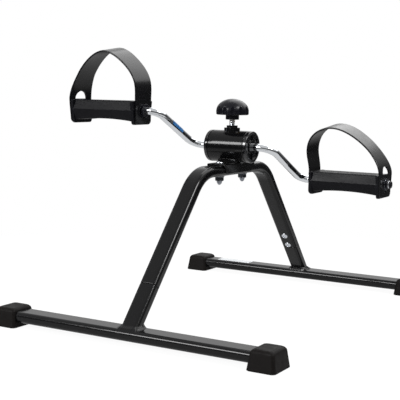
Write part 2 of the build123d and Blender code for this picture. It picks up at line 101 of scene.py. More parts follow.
@dataclass(frozen=True)
class Shell:
    """One closed surface: a grid of points whose columns join round."""

    points: np.ndarray
    ring: bool = False
    capped: bool = True

    def faces(self, start: int) -> list[list[int]]:
        """Quads between neighbouring rows, and a flat face on each open end.

        Args:
            start: Index of this shell's first point in the whole mesh.

        Returns:
            Lists of point indices.
        """
        rows, cols = self.points.shape[:2]
        i = np.arange(rows if self.ring else rows - 1)[:, None]
        j = np.arange(cols)[None, :]
        over, after = (i + 1) % rows, (j + 1) % cols
        corners = [i * cols + j, i * cols + after, over * cols + after, over * cols + j]
        quads = np.stack(corners, axis=-1).reshape(-1, 4) + start
        made = quads.tolist()
        if self.capped and not self.ring:
            made.append((start + np.arange(cols))[::-1].tolist())
            made.append((start + (rows - 1) * cols + np.arange(cols)).tolist())
        return made


def full_turn(count: int) -> np.ndarray:
    """Angles spaced evenly round a circle, without the last that would repeat the first."""
    return np.linspace(0, FULL_TURN, count, endpoint=False)


def quarter_turn(count: int) -> np.ndarray:
    """Angles spaced evenly from 0 to a right angle, both ends included."""
    return np.linspace(0, QUARTER, count)


def circle(radius: float, count: int) -> np.ndarray:
    """Points (count, 2) of a circle: radius * (cos a, sin a)."""
    angle = full_turn(count)
    return radius * np.stack([np.cos(angle), np.sin(angle)], axis=1)


def rounded(points: Sequence, radii: float | Sequence[float], steps: int = 5,
            closed: bool = True) -> np.ndarray:
    """Line with its corners turned into arcs that touch both sides.

    An arc's point is centre + radius * (sin((1-s)w) v0 + sin(s w) v1) / sin(w), where v0 and v1
    point from the centre to the arc's ends and w is the angle between them.

    Args:
        points: Corners in two or three dimensions.
        radii: One radius, or one for each corner; 0 leaves a corner as it is.
        steps: Spans in each arc.
        closed: Whether the last corner joins the first.

    Returns:
        The points of the rounded line.
    """
    corners = np.asarray(points, float)
    count = len(corners)
    radius = np.broadcast_to(np.asarray(radii, float), (count,))
    pieces = []
    share = np.linspace(0.0, 1.0, steps + 1)[:, None]
    for n, corner in enumerate(corners):
        if radius[n] <= 0 or (not closed and n in (0, count - 1)):
            pieces.append(corner[None, :])
            continue
        back = corners[n - 1] - corner
        ahead = corners[(n + 1) % count] - corner
        back, ahead = back / np.linalg.norm(back), ahead / np.linalg.norm(ahead)
        half = math.acos(float(np.clip(back @ ahead, -1, 1))) / 2
        middle = (back + ahead) / np.linalg.norm(back + ahead)
        centre = corner + middle * radius[n] / math.sin(half)
        first = (corner + back * radius[n] / math.tan(half) - centre) / radius[n]
        last = (corner + ahead * radius[n] / math.tan(half) - centre) / radius[n]
        turn = math.acos(float(np.clip(first @ last, -1, 1)))
        arc = (np.sin((1 - share) * turn) * first + np.sin(share * turn) * last) / math.sin(turn)
        pieces.append(centre + radius[n] * arc)
    return np.concatenate(pieces)


def rounded_rectangle(half_width: float | np.ndarray, half_height: float | np.ndarray,
                      corner: float | np.ndarray, steps: int = 5) -> np.ndarray:
    """Rounded rectangles, one for each row of sizes.

    A point at angle a is (sign(cos a)(w - r) + r cos a, sign(sin a)(h - r) + r sin a).

    Args:
        half_width: Half the first size, a number or one for each row.
        half_height: Half the second size, likewise.
        corner: Corner radius, likewise.
        steps: Spans in each corner's arc.

    Returns:
        Points of shape (rows, columns, 2).
    """
    wide, high = np.broadcast_arrays(np.atleast_1d(half_width), np.atleast_1d(half_height))
    radius = np.broadcast_to(corner, wide.shape)[:, None]
    angle = np.concatenate([quarter_turn(steps + 1) + n * QUARTER for n in range(4)])
    sign_x = np.repeat([1, -1, -1, 1], steps + 1)
    sign_y = np.repeat([1, 1, -1, -1], steps + 1)
    across = sign_x * (wide[:, None] - radius) + radius * np.cos(angle)
    up = sign_y * (high[:, None] - radius) + radius * np.sin(angle)
    return np.stack([across, up], axis=-1)


def inset(outline: np.ndarray, distance: float | np.ndarray) -> np.ndarray:
    """Closed outline moved inwards along its own normals.

    Args:
        outline: Points of shape (columns, 2), in either sense.
        distance: One number, or one for each row wanted.

    Returns:
        Points of shape (rows, columns, 2).
    """
    along = np.roll(outline, -1, axis=0) - np.roll(outline, 1, axis=0)
    along /= np.maximum(np.linalg.norm(along, axis=1, keepdims=True), 1e-12)
    normal = np.stack([along[:, 1], -along[:, 0]], axis=1)
    x, y = outline.T
    area = np.sum(x * np.roll(y, -1) - y * np.roll(x, -1))
    return outline[None] - np.sign(area) * normal[None] * np.atleast_1d(distance)[:, None, None]


def directions(path: np.ndarray) -> np.ndarray:
    """Unit directions along a path, each the mean of the runs beside its point.

    Args:
        path: Points (rows, 2) or (rows, 3).

    Returns:
        Unit vectors of the same shape.
    """
    run = np.diff(path, axis=0)
    run /= np.linalg.norm(run, axis=1, keepdims=True)
    mean = np.concatenate([run[:1], run[:-1] + run[1:], run[-1:]])
    return mean / np.linalg.norm(mean, axis=1, keepdims=True)


def sweep(sections: np.ndarray, path: np.ndarray, across: np.ndarray) -> np.ndarray:
    """Sections carried along a path that lies in one plane.

    point = path + u * across + v * (direction x across), with across at right angles to the plane.

    Args:
        sections: Points (columns, 2), or (rows, columns, 2) for one section at each path point.
        path: Points (rows, 3).
        across: Unit vector along the sections' first axis.

    Returns:
        Grid of shape (rows, columns, 3).
    """
    side = np.cross(directions(path), across)
    flat = np.broadcast_to(sections, (len(path), *sections.shape[-2:]))
    return path[:, None] + flat[..., :1] * across + flat[..., 1:] * side[:, None]


def eased_sweep(section: np.ndarray, path: np.ndarray, across: np.ndarray, edge: float,
                steps: int = EASE_STEPS) -> np.ndarray:
    """Sweep whose two end edges are rounded: the section shrinks by a quarter circle at each end.

    Args:
        section: Closed outline (columns, 2).
        path: Points (rows, 3).
        across: Unit vector along the section's first axis.
        edge: Radius of the end edges.
        steps: Spans in each quarter circle.

    Returns:
        Grid of shape (rows, columns, 3).
    """
    turn = quarter_turn(steps + 1)
    depth, shrink = edge * (1 - np.cos(turn)), edge * (1 - np.sin(turn))
    way = directions(path)
    first = path[:1] + depth[:, None] * way[:1]
    last = (path[-1:] - depth[:, None] * way[-1:])[::-1]
    line = np.concatenate([first, path[1:-1], last])
    sizes = np.concatenate([shrink, np.zeros(len(path) - 2), shrink[::-1]])
    side = np.cross(way, across)
    sides = np.concatenate([np.repeat(side[:1], steps + 1, 0), side[1:-1],
                            np.repeat(side[-1:], steps + 1, 0)])
    flat = inset(section, sizes)
    return line[:, None] + flat[..., :1] * across + flat[..., 1:] * sides[:, None]


def lathe(profile: np.ndarray, origin: np.ndarray, axis: np.ndarray, count: int = 64) -> np.ndarray:
    """Profile turned about an axis: origin + h * axis + r * (u cos a + v sin a).

    Args:
        profile: Points (rows, 2) of radius and height.
        origin: Where the axis has height 0.
        axis: Unit vector.
        count: Columns round the axis.

    Returns:
        Grid of shape (rows, count, 3).
    """
    helper = X_AXIS if abs(axis[0]) < 0.9 else Y_AXIS
    u = np.cross(axis, helper)
    u /= np.linalg.norm(u)
    v = np.cross(axis, u)
    angle = full_turn(count)
    spoke = np.cos(angle)[:, None] * u + np.sin(angle)[:, None] * v
    return origin + profile[:, None, 1:] * axis + profile[:, None, :1] * spoke[None]


def finish_mesh(mesh: bpy.types.Mesh, crease: float) -> None:
    """Close seams and poles, point faces outwards and shade smooth up to the crease angle.

    Args:
        mesh: The mesh that changes.
        crease: Edges sharper than this many degrees stay sharp.
    """
    work = bmesh.new()
    work.from_mesh(mesh)
    bmesh.ops.remove_doubles(work, verts=work.verts, dist=MERGE_DISTANCE)
    bmesh.ops.dissolve_degenerate(work, edges=work.edges, dist=FLAT_DISTANCE)
    bmesh.ops.recalc_face_normals(work, faces=work.faces)
    work.to_mesh(mesh)
    work.free()
    mesh.shade_smooth()
    mesh.set_sharp_from_angle(angle=math.radians(crease))


def add_piece(name: str, shells: Sequence[Shell], finish: "Finish", body: Body,
              nodes: Sequence[str], crease: float = 34.0,
              even: bool = True) -> bpy.types.Object:
    """Make one piece from its shells, dress it and tie it to its body.

    Args:
        name: The piece's name.
        shells: Closed surfaces, in metres.
        finish: What it is made of.
        body: The body that it rides on.
        nodes: Nodes that it stands for.
        crease: Edges sharper than this many degrees stay sharp.
        even: Whether large flat faces keep their own normals.

    Returns:
        The new object.
    """
    mesh = bpy.data.meshes.new(name)
    faces, start = [], 0
    for shell in shells:
        faces += shell.faces(start)
        start += shell.points.shape[0] * shell.points.shape[1]
    points = np.concatenate([shell.points.reshape(-1, 3) for shell in shells])
    mesh.from_pydata(points.tolist(), [], faces)
    finish_mesh(mesh, crease)
    made = bpy.data.objects.new(name, mesh)
    bpy.context.scene.collection.objects.link(made)
    if even:
        weigh = made.modifiers.new("even", "WEIGHTED_NORMAL")
        weigh.keep_sharp = True
    made.data.materials.append(finish.material())
    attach(made, body.value)
    if nodes:
        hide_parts(*nodes)
    log.info("%s: %d faces on %s", name, len(mesh.polygons), body.value)
    return made


def add_softened(name: str, node: str, finish: "Finish", body: Body,
                 edge: float) -> bpy.types.Object:
    """Copy of a node's own shape with its edges rounded.

    Args:
        name: The piece's name.
        node: The node that it is copied from and stands for.
        finish: What it is made of.
        body: The body that it rides on.
        edge: Radius of the rounded edges, in metres.

    Returns:
        The new object.
    """
    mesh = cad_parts[node].data.copy()
    mesh.name = name
    mesh.materials.clear()
    work = bmesh.new()
    work.from_mesh(mesh)
    bmesh.ops.remove_doubles(work, verts=work.verts, dist=NODE_MERGE_DISTANCE)
    bmesh.ops.dissolve_limit(work, angle_limit=math.radians(NODE_FLAT_ANGLE), verts=work.verts,
                             edges=work.edges)
    work.to_mesh(mesh)
    work.free()
    mesh.shade_smooth()
    mesh.set_sharp_from_angle(angle=math.radians(NODE_SHARP_ANGLE))
    made = bpy.data.objects.new(name, mesh)
    bpy.context.scene.collection.objects.link(made)
    soften = made.modifiers.new("edges", "BEVEL")
    soften.width, soften.segments = edge, 2
    soften.limit_method, soften.angle_limit = "ANGLE", math.radians(NODE_BEVEL_ANGLE)
    soften.harden_normals = True
    made.data.materials.append(finish.material())
    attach(made, body.value)
    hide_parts(node)
    log.info("%s: copied from %s", name, node)
    return made


def cut(piece: bpy.types.Object, shells: Sequence[Shell], crease: float = 30.0) -> None:
    """Take closed shells away from a piece's mesh.

    Args:
        piece: The object whose mesh changes.
        shells: What is taken away.
        crease: Edges sharper than this many degrees stay sharp.
    """
    for shell in shells:
        mesh = bpy.data.meshes.new("cutter")
        mesh.from_pydata(shell.points.reshape(-1, 3).tolist(), [], shell.faces(0))
        finish_mesh(mesh, crease)
        tool = bpy.data.objects.new("cutter", mesh)
        bpy.context.scene.collection.objects.link(tool)
        step = piece.modifiers.new("cut", "BOOLEAN")
        step.operation, step.solver, step.object = "DIFFERENCE", "EXACT", tool
        held = [m for m in piece.modifiers if m.type == "WEIGHTED_NORMAL"]
        for modifier in held:
            modifier.show_viewport = False
        bpy.context.view_layer.update()
        graph = bpy.context.evaluated_depsgraph_get()
        result = bpy.data.meshes.new_from_object(piece.evaluated_get(graph))
        piece.modifiers.remove(step)
        for modifier in held:
            modifier.show_viewport = True
        piece.data = result
        bpy.data.objects.remove(tool)
    piece.data.shade_smooth()
    piece.data.set_sharp_from_angle(angle=math.radians(crease))


def middle(node: str) -> np.ndarray:
    """Centre of a node's box at rest."""
    low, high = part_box(node)
    return (np.array(low) + np.array(high)) / 2


# ------------------------------------------------------------------ finishes

MM_PER_METRE = 1000
METALLIC_SPLIT = 0.5
LOWEST_ROUGHNESS = 0.01
# Noise levels between which the haze runs from its lowest roughness to its highest.
HAZE_BAND = (0.3, 0.7)
# Pointiness of an edge where wear starts and where it is full, and the size of its patches in mm.
WORN_BAND = (0.53, 0.62)
WORN_PATCH = 2.5


def linear(code: str, alpha: float = 1.0) -> tuple[float, float, float, float]:
    """sRGB hex colour as linear numbers.

    Args:
        code: A colour such as "#2f6aa3".
        alpha: The fourth number.

    Returns:
        Red, green, blue and alpha.
    """
    parts = [int(code[n:n + 2], 16) / 255 for n in (1, 3, 5)]
    flat = [c / 12.92 if c <= 0.04045 else ((c + 0.055) / 1.055) ** 2.4 for c in parts]
    return (*flat, alpha)


def put(tree: bpy.types.NodeTree, kind: str, inputs: dict | None = None,
        **settings: object) -> bpy.types.Node:
    """Add a node with its settings and links.

    Numbered sockets: Map Range takes a value at 0, its old range at 1 and 2 and its new one at 3
    and 4; Mix takes its share at 0, and two numbers at 2 and 3 or two colours at 6 and 7.

    Args:
        tree: The tree that it goes into.
        kind: The node's type.
        inputs: Socket names or numbers, with a value or another node's output for each.
        settings: The node's own properties.

    Returns:
        The new node.
    """
    made = tree.nodes.new(kind)
    for key, value in settings.items():
        setattr(made, key, value)
    for key, value in (inputs or {}).items():
        if isinstance(value, bpy.types.NodeSocket):
            tree.links.new(value, made.inputs[key])
        else:
            made.inputs[key].default_value = value
    return made


@dataclass(frozen=True)
class Finish:
    """A finish: its two close colours, its gloss and its fine relief.

    Sizes are millimetres. The mottle is a slow change between the two colours, the haze a change of
    roughness, and the grain a fine relief; streak draws all three out along one axis.
    """

    name: str
    colour: str
    second: str
    roughness: float
    haze: float = 0.08
    haze_size: float = 9.0
    mottle_size: float = 14.0
    metallic: float = 0.0
    specular: float = 0.5
    grain_size: float = 1.2
    grain_height: float = 0.02
    coat: float = 0.0
    coat_roughness: float = 0.1
    streak: tuple[float, float, float] = (1.0, 1.0, 1.0)
    edge_colour: str = ""
    edge_share: float = 0.0

    def material(self) -> bpy.types.Material:
        """The material of this name, made the first time it is asked for."""
        held = bpy.data.materials.get(self.name)
        return held or self.build()

    def build(self) -> bpy.types.Material:
        """Make the node material.

        Returns:
            The new material.
        """
        made = bpy.data.materials.new(self.name)
        made.use_nodes = True
        tree = made.node_tree
        shader = tree.nodes["Principled BSDF"]
        for key, value in (("Metallic", self.metallic), ("Coat Weight", self.coat),
                           ("Coat Roughness", self.coat_roughness)):
            shader.inputs[key].default_value = value
        if self.metallic < METALLIC_SPLIT:
            shader.inputs["Specular IOR Level"].default_value = self.specular
        place = put(tree, "ShaderNodeTexCoord").outputs["Object"]
        place = put(tree, "ShaderNodeMapping", {0: place, "Scale": self.streak}).outputs[0]
        slow = put(tree, "ShaderNodeTexNoise", {
            0: place, "Scale": MM_PER_METRE / self.mottle_size, "Detail": 4.0})
        colour = put(tree, "ShaderNodeMix", {
            0: slow.outputs[0], 6: linear(self.colour), 7: linear(self.second)},
            data_type="RGBA").outputs[2]
        colour = self.worn(tree, place, colour)
        tree.links.new(colour, shader.inputs["Base Color"])
        cloud = put(tree, "ShaderNodeTexNoise", {
            0: place, "Scale": MM_PER_METRE / self.haze_size, "Detail": 5.0})
        gloss = put(tree, "ShaderNodeMapRange", {
            0: cloud.outputs[0], 1: HAZE_BAND[0], 2: HAZE_BAND[1],
            3: max(self.roughness - self.haze, LOWEST_ROUGHNESS), 4: self.roughness + self.haze})
        tree.links.new(gloss.outputs[0], shader.inputs["Roughness"])
        grain = put(tree, "ShaderNodeTexNoise", {
            0: place, "Scale": MM_PER_METRE / self.grain_size, "Detail": 2.0})
        relief = put(tree, "ShaderNodeBump", {
            "Height": grain.outputs[0], "Distance": self.grain_height * MM, "Strength": 1.0})
        tree.links.new(relief.outputs[0], shader.inputs["Normal"])
        return made

    def worn(self, tree: bpy.types.NodeTree, place: bpy.types.NodeSocket,
             colour: bpy.types.NodeSocket) -> bpy.types.NodeSocket:
        """Lighten the sharp edges, broken up by noise, where the finish has an edge colour.

        Args:
            tree: The material's tree.
            place: Object coordinates.
            colour: The colour so far.

        Returns:
            The colour with its worn edges.
        """
        if not self.edge_colour:
            return colour
        bend = put(tree, "ShaderNodeNewGeometry").outputs["Pointiness"]
        ridge = put(tree, "ShaderNodeMapRange", {
            0: bend, 1: WORN_BAND[0], 2: WORN_BAND[1], 3: 0.0, 4: self.edge_share})
        patch = put(tree, "ShaderNodeTexNoise", {
            0: place, "Scale": MM_PER_METRE / WORN_PATCH, "Detail": 3.0})
        share = put(tree, "ShaderNodeMath", {0: ridge.outputs[0], 1: patch.outputs[0]},
                    operation="MULTIPLY")
        return put(tree, "ShaderNodeMix", {
            0: share.outputs[0], 6: colour, 7: linear(self.edge_colour)},
            data_type="RGBA").outputs[2]


# Gloss black enamel baked on steel: deep black, a faint orange peel, soft-edged reflections.
ENAMEL = Finish("black_baked_enamel", "#080809", "#0c0c0d", 0.14, haze=0.02, specular=0.25,
                grain_size=3.5, grain_height=0.003, mottle_size=30.0)
# Moulded SBR rubber: brownish black, matt, with a fine pebble left by the mould.
RUBBER = Finish("black_moulded_rubber", "#0a0807", "#0f0c0b", 0.55, haze=0.08, specular=0.1,
                grain_size=0.9, grain_height=0.05, mottle_size=9.0, edge_colour="#2e2925",
                edge_share=0.5)
# Bright chrome plate on a bent rod: a clean mirror with faint polishing marks.
CHROME = Finish("bright_chrome_plate", "#e6e8eb", "#dadde1", 0.06, haze=0.03, metallic=1.0,
                grain_size=3.0, grain_height=0.004, mottle_size=20.0, haze_size=4.0)
# Clear zinc plate on small fixings: pale, slightly milky, with a crystalline mottle.
ZINC = Finish("clear_zinc_plate", "#9da0a6", "#7a7e85", 0.16, haze=0.06, metallic=1.0,
              grain_size=0.8, grain_height=0.01, mottle_size=2.0, haze_size=1.5)
# Bright zinc plate on the screws and bolts that show: almost white, with a thin blue cast.
BRIGHT_ZINC = Finish("bright_zinc_plate", "#e1e4e8", "#c6cad0", 0.14, haze=0.06, metallic=1.0,
                     grain_size=0.8, grain_height=0.006, mottle_size=2.0, haze_size=1.5)
# Moulded ABS: near-black with a blue cast, satin, a little brighter on worn edges.
ABS = Finish("black_moulded_abs", "#0b0b10", "#0f0f15", 0.26, haze=0.05, specular=0.22,
             grain_size=0.8, grain_height=0.02, mottle_size=7.0, edge_colour="#3a3a44",
             edge_share=0.4)
# Polished ABS of the hub's end caps: deep black with a wet-looking rim.
POLISHED_ABS = Finish("black_polished_abs", "#09090b", "#0d0d10", 0.12, haze=0.03, specular=0.5,
                      grain_size=1.5, grain_height=0.003, mottle_size=9.0, coat=0.3)
# Moulded polypropylene foot block: satin black with flow marks and a scuffed top.
POLYPROPYLENE = Finish("black_moulded_polypropylene", "#0a0a0d", "#0f0f12", 0.36, haze=0.08,
                       specular=0.09, grain_size=1.3, grain_height=0.008, mottle_size=11.0,
                       edge_colour="#40404a", edge_share=0.4, streak=(0.22, 1.0, 1.0))
# Flexible moulded vinyl strap: glossy, slightly rippled so that its reflections waver.
VINYL = Finish("black_flexible_vinyl", "#09090b", "#0d0d0f", 0.2, haze=0.03, specular=0.2,
               grain_size=5.0, grain_height=0.012, mottle_size=16.0, edge_colour="#3c3c40",
               edge_share=0.4)
# Natural nylon bearing stock: warm white and waxy.
NYLON = Finish("natural_nylon", "#dad6c9", "#c9c4b4", 0.42, haze=0.06, grain_size=0.7,
               grain_height=0.02)
# Turned brass of a threaded insert: yellow with fine tool marks.
BRASS = Finish("turned_brass", "#c9a45c", "#b58f48", 0.3, metallic=1.0, grain_size=0.5,
               grain_height=0.01)
# Plain mild steel inside the joints: grey, drawn out along the tube by the mill's rollers.
STEEL = Finish("rolled_mild_steel", "#8d9094", "#74777b", 0.38, metallic=1.0, grain_size=0.6,
               grain_height=0.015, streak=(1.0, 0.2, 0.2))
# Pale laminated film: soft white, faintly mottled, with a satin face.
LABEL = Finish("pale_laminated_film", "#e2e4e6", "#c3c7cb", 0.35, mottle_size=8.0, grain_size=2.0,
               grain_height=0.01)
# Blue vinyl film under a clear coat: even mid blue, glossy.
STICKER = Finish("blue_vinyl_film", "#2f6aa3", "#27598c", 0.3, mottle_size=10.0, grain_size=1.5,
                 grain_height=0.01, coat=0.4)


# ------------------------------------------------------------------ floor frame


@dataclass
class FloorFrame:
    """Two rails on rubber feet, and the arch on its two welded stubs. Sizes in millimetres."""

    rail_corner: float = 5.6
    rail_edge: float = 0.4
    leg_width: float = 22.5
    leg_thickness: float = 14.0
    leg_corner: float = 4.8
    arch_bend: float = 55.0
    arch_flat: float = 173.4
    stub_length: float = 55.8
    stub_sunk: float = 0.4
    seam_edge: float = 0.8
    seam_gap: float = 0.25
    foot_corner: float = 5.0
    foot_crown: float = 4.5
    foot_taper: float = 8.0
    foot_sole: float = 0.9
    foot_top_share: float = 0.8
    weld_size: float = 5.0
    weld_points: int = 220
    weld_scale: float = 0.09
    weld_scale_pitch: float = 2.6
    weld_sway: float = 0.07
    screw_first: float = 6.3
    screw_pitch: float = 19.5
    screw_head: float = 4.8
    screw_head_height: float = 2.2
    screw_roundness: float = 3.2
    screw_rim: float = 0.3
    recess_reach: float = 2.1
    recess_half: float = 0.55
    recess_depth: float = 1.1
    screw_columns: int = 96

    def __post_init__(self) -> None:
        """Take the places of rails and arch from the frame."""
        low, high = (np.array(c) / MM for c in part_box("front_rail"))
        self.rail_y = -(low[1] + high[1]) / 2
        self.rail_top = high[2]
        self.rail_half = (high[1] - low[1]) / 2
        self.arch_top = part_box("arch_tube")[1][2] / MM
        self.arch_middle = self.arch_top - self.leg_thickness / 2
        rise = self.arch_middle - self.rail_top
        self.leg_angle = math.atan2(rise, self.rail_y - self.arch_flat / 2)

    def on_leg(self, side: int, distance: float) -> np.ndarray:
        """Point on a leg's centre line.

        Args:
            side: -1 at the front, 1 at the rear.
            distance: How far up the leg from its rail's top.

        Returns:
            The point.
        """
        y = side * (self.rail_y - distance * math.cos(self.leg_angle))
        return np.array([0.0, y, self.rail_top + distance * math.sin(self.leg_angle)])

    def up_leg(self, side: int) -> np.ndarray:
        """Unit vector up a leg."""
        return np.array([0.0, -side * math.cos(self.leg_angle), math.sin(self.leg_angle)])

    def build(self) -> None:
        """Make every piece of the floor frame."""
        for side, row in ((-1, "front"), (1, "rear")):
            self.rail(row)
            self.stub(side, row)
            self.weld(side, row)
            self.leg_screws(side, row)
            for hand in ("left", "right"):
                self.foot(f"{row}_{hand}_foot")
        self.arch()

    def section(self, steps: int = 5) -> np.ndarray:
        """Outline of the leg's tube, with that many spans in each corner."""
        half_width, half_height = self.leg_width / 2, self.leg_thickness / 2
        return rounded_rectangle(half_width, half_height, self.leg_corner, steps)[0]

    def rail(self, row: str) -> None:
        """Rail tube: a rounded rectangle carried along X.

        Args:
            row: "front" or "rear".
        """
        low, high = (np.array(c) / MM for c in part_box(f"{row}_rail"))
        size = high - low
        outline = rounded_rectangle(size[1] / 2, size[2] / 2, self.rail_corner, 7)[0]
        centre = (low + high) / 2
        path = np.linspace([low[0], centre[1], centre[2]], [high[0], centre[1], centre[2]], 13)
        grid = eased_sweep(outline, path, Y_AXIS, self.rail_edge)
        add_piece(f"{row}_rail_tube", [Shell(grid * MM)], ENAMEL, Body.FRAME, [f"{row}_rail"])

    def stub(self, side: int, row: str) -> None:
        """Welded stub: a straight sweep whose lower row is slid down the leg on to the rail's top.

        Args:
            side: -1 at the front, 1 at the rear.
            row: "front" or "rear".
        """
        ends = np.linspace(0, self.stub_length - self.seam_gap / 2, 7)
        path = np.stack([self.on_leg(side, distance) for distance in ends])
        grid = eased_sweep(self.section(), path, X_AXIS, self.seam_edge)[EASE_STEPS:]
        way = self.up_leg(side)
        drop = (self.rail_top - self.stub_sunk - grid[0, :, 2]) / way[2]
        grid[0] = grid[0] + drop[:, None] * way
        name = f"{row}_leg_stub"
        add_piece(f"{name}_tube", [Shell(grid * MM)], ENAMEL, Body.FRAME, [name])

    def weld(self, side: int, row: str) -> None:
        """Fillet weld round a stub's foot.

        The seam is the leg's outline slid on to the rail's top. Each point of the bead is seam +
        outward * a + up the leg * b, for (a, b) on a rounded triangle swollen by a slow ripple. It
        then sinks with the rail's rounded shoulder: r - sqrt(r^2 - past^2), past the flat top.

        Args:
            side: -1 at the front, 1 at the rear.
            row: "front" or "rear".
        """
        way = self.up_leg(side)
        outline = self.section(8)
        loop = np.concatenate([outline, outline[:1]])
        run = np.concatenate([[0], np.cumsum(np.linalg.norm(np.diff(loop, axis=0), axis=1))])
        place = np.linspace(0, run[-1], self.weld_points, endpoint=False)
        flat = np.stack([np.interp(place, run, loop[:, n]) for n in (0, 1)], axis=1)
        outward = inset(flat, -1.0)[0] - flat
        normal = np.cross(way, X_AXIS)
        base = self.on_leg(side, 0)
        seam = base + flat[:, :1] * X_AXIS + flat[:, 1:] * normal
        seam += ((self.rail_top - seam[:, 2]) / way[2])[:, None] * way
        out = outward[:, :1] * X_AXIS + outward[:, 1:] * np.sign(normal[1]) * Y_AXIS
        size = self.weld_size
        hollow = (size * 0.45, size * 0.42)
        bead = rounded([(-1.0, -0.6), (size, -0.5), hollow, (-0.3, size), (-1.0, size)],
                       [0.2, 0.3, size * 0.5, 0.25, 0.2], 3)
        scales = self.weld_scale * np.sin(place * 2 * math.pi / self.weld_scale_pitch)
        ripple = 1 + scales + self.weld_sway * np.sin(place * 0.37 + 1.1)
        grow = np.where(bead > 0, ripple[:, None, None] * bead, bead)
        grid = seam[:, None] + grow[..., :1] * out[:, None] + grow[..., 1:] * way
        past = np.abs(grid[..., 1] - side * self.rail_y) - (self.rail_half - self.rail_corner)
        past = np.clip(past, 0, self.rail_corner)
        grid[..., 2] -= self.rail_corner - np.sqrt(self.rail_corner ** 2 - past ** 2)
        add_piece(f"{row}_leg_weld", [Shell(grid * MM, ring=True)], ENAMEL, Body.FRAME, [])

    def leg_screws(self, side: int, row: str) -> None:
        """Two pan-head screws: a dome whose height dips in a cross-shaped recess.

        height(r, a) = dome(r) - depth inside |x| < w or |y| < w, softened over a short ramp.

        Args:
            side: -1 at the front, 1 at the rear.
            row: "front" or "rear".
        """
        normal = -np.array([0.0, side * math.sin(self.leg_angle), math.cos(self.leg_angle)])
        way = self.up_leg(side)
        shells = []
        for n in range(2):
            seat = self.on_leg(side, self.stub_length + self.screw_first + n * self.screw_pitch)
            seat = seat + normal * self.leg_thickness / 2
            share = np.concatenate([np.linspace(0, 0.9, 28), np.linspace(0.92, 1.0, 5)])
            radius = share * self.screw_head
            fall = (radius / self.screw_head) ** self.screw_roundness
            dome = self.screw_head_height * np.sqrt(np.clip(1 - fall, 0, 1))
            angle = full_turn(self.screw_columns) + 0.5 + 0.7 * n
            r, a = np.meshgrid(radius, angle, indexing="ij")
            x, y = r * np.cos(a), r * np.sin(a)
            arm = np.clip((self.recess_reach - np.hypot(x, y)) / 0.3, 0, 1)
            off = np.minimum(np.abs(x), np.abs(y))
            slot = np.clip((self.recess_half - off) / 0.18, 0, 1) * arm
            height = dome[:, None] - self.recess_depth * slot
            cap = seat + x[..., None] * X_AXIS + y[..., None] * way + height[..., None] * normal
            tip = np.repeat(cap[:1, :1], self.screw_columns, 1)
            rim = cap[-1:] - self.screw_rim * normal
            shells.append(Shell(np.concatenate([tip, cap[1:], rim]) * MM))
        name = f"{row}_leg_screws"
        add_piece(f"{name}_pan", shells, BRIGHT_ZINC, Body.FRAME, [name])

    def arch(self) -> None:
        """Bent tube from seam to seam: the leg's outline along a line with two rounded corners."""
        start, end = (self.on_leg(s, self.stub_length + self.seam_gap / 2) for s in (-1, 1))
        corner = [np.array([0.0, s * self.arch_flat / 2, self.arch_middle]) for s in (-1, 1)]
        path = rounded([start, *corner, end], self.arch_bend, 26, closed=False)
        grid = eased_sweep(self.section(), path, X_AXIS, self.seam_edge)
        add_piece("arch_bent_tube", [Shell(grid * MM)], ENAMEL, Body.FRAME, ["arch_tube"])

    def foot(self, node: str) -> None:
        """Rubber foot: rounded rectangles stacked up Z, leaning in by the taper.

        half size(z) = half size at the floor - z tan(taper) - crown, where the crown is
        c (1 - cos a) at height top - c (1 - sin a), and a small sole radius rounds the floor edge.

        Args:
            node: The foot's node.
        """
        low, high = (np.array(c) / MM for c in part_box(node))
        half, top = (high - low)[:2] / 2, high[2]
        sole, turn = self.foot_sole, quarter_turn(8)
        sole_z, sole_in = sole * (1 - np.cos(turn)), sole * (1 - np.sin(turn))
        crown_z = top - self.foot_crown * (1 - np.sin(turn))
        crown_in = self.foot_crown * (1 - np.cos(turn))
        z = np.concatenate([sole_z, np.linspace(sole, crown_z[0], 8)[1:-1], crown_z])
        lean = z * math.tan(math.radians(self.foot_taper))
        shrink = np.concatenate([sole_in, np.zeros(6), crown_in]) + lean
        corner = np.linspace(self.foot_corner, self.foot_corner * self.foot_top_share, len(z))
        flat = rounded_rectangle(half[0] - shrink, half[1] - shrink, corner, 6)
        centre = (low + high)[:2] / 2
        up = np.broadcast_to(z[:, None, None], (*flat.shape[:2], 1))
        grid = np.concatenate([flat + centre, up], axis=-1)
        add_piece(f"{node}_cap", [Shell(grid * MM)], RUBBER, Body.FRAME, [node],
                  crease=50)


# ------------------------------------------------------------------ hub


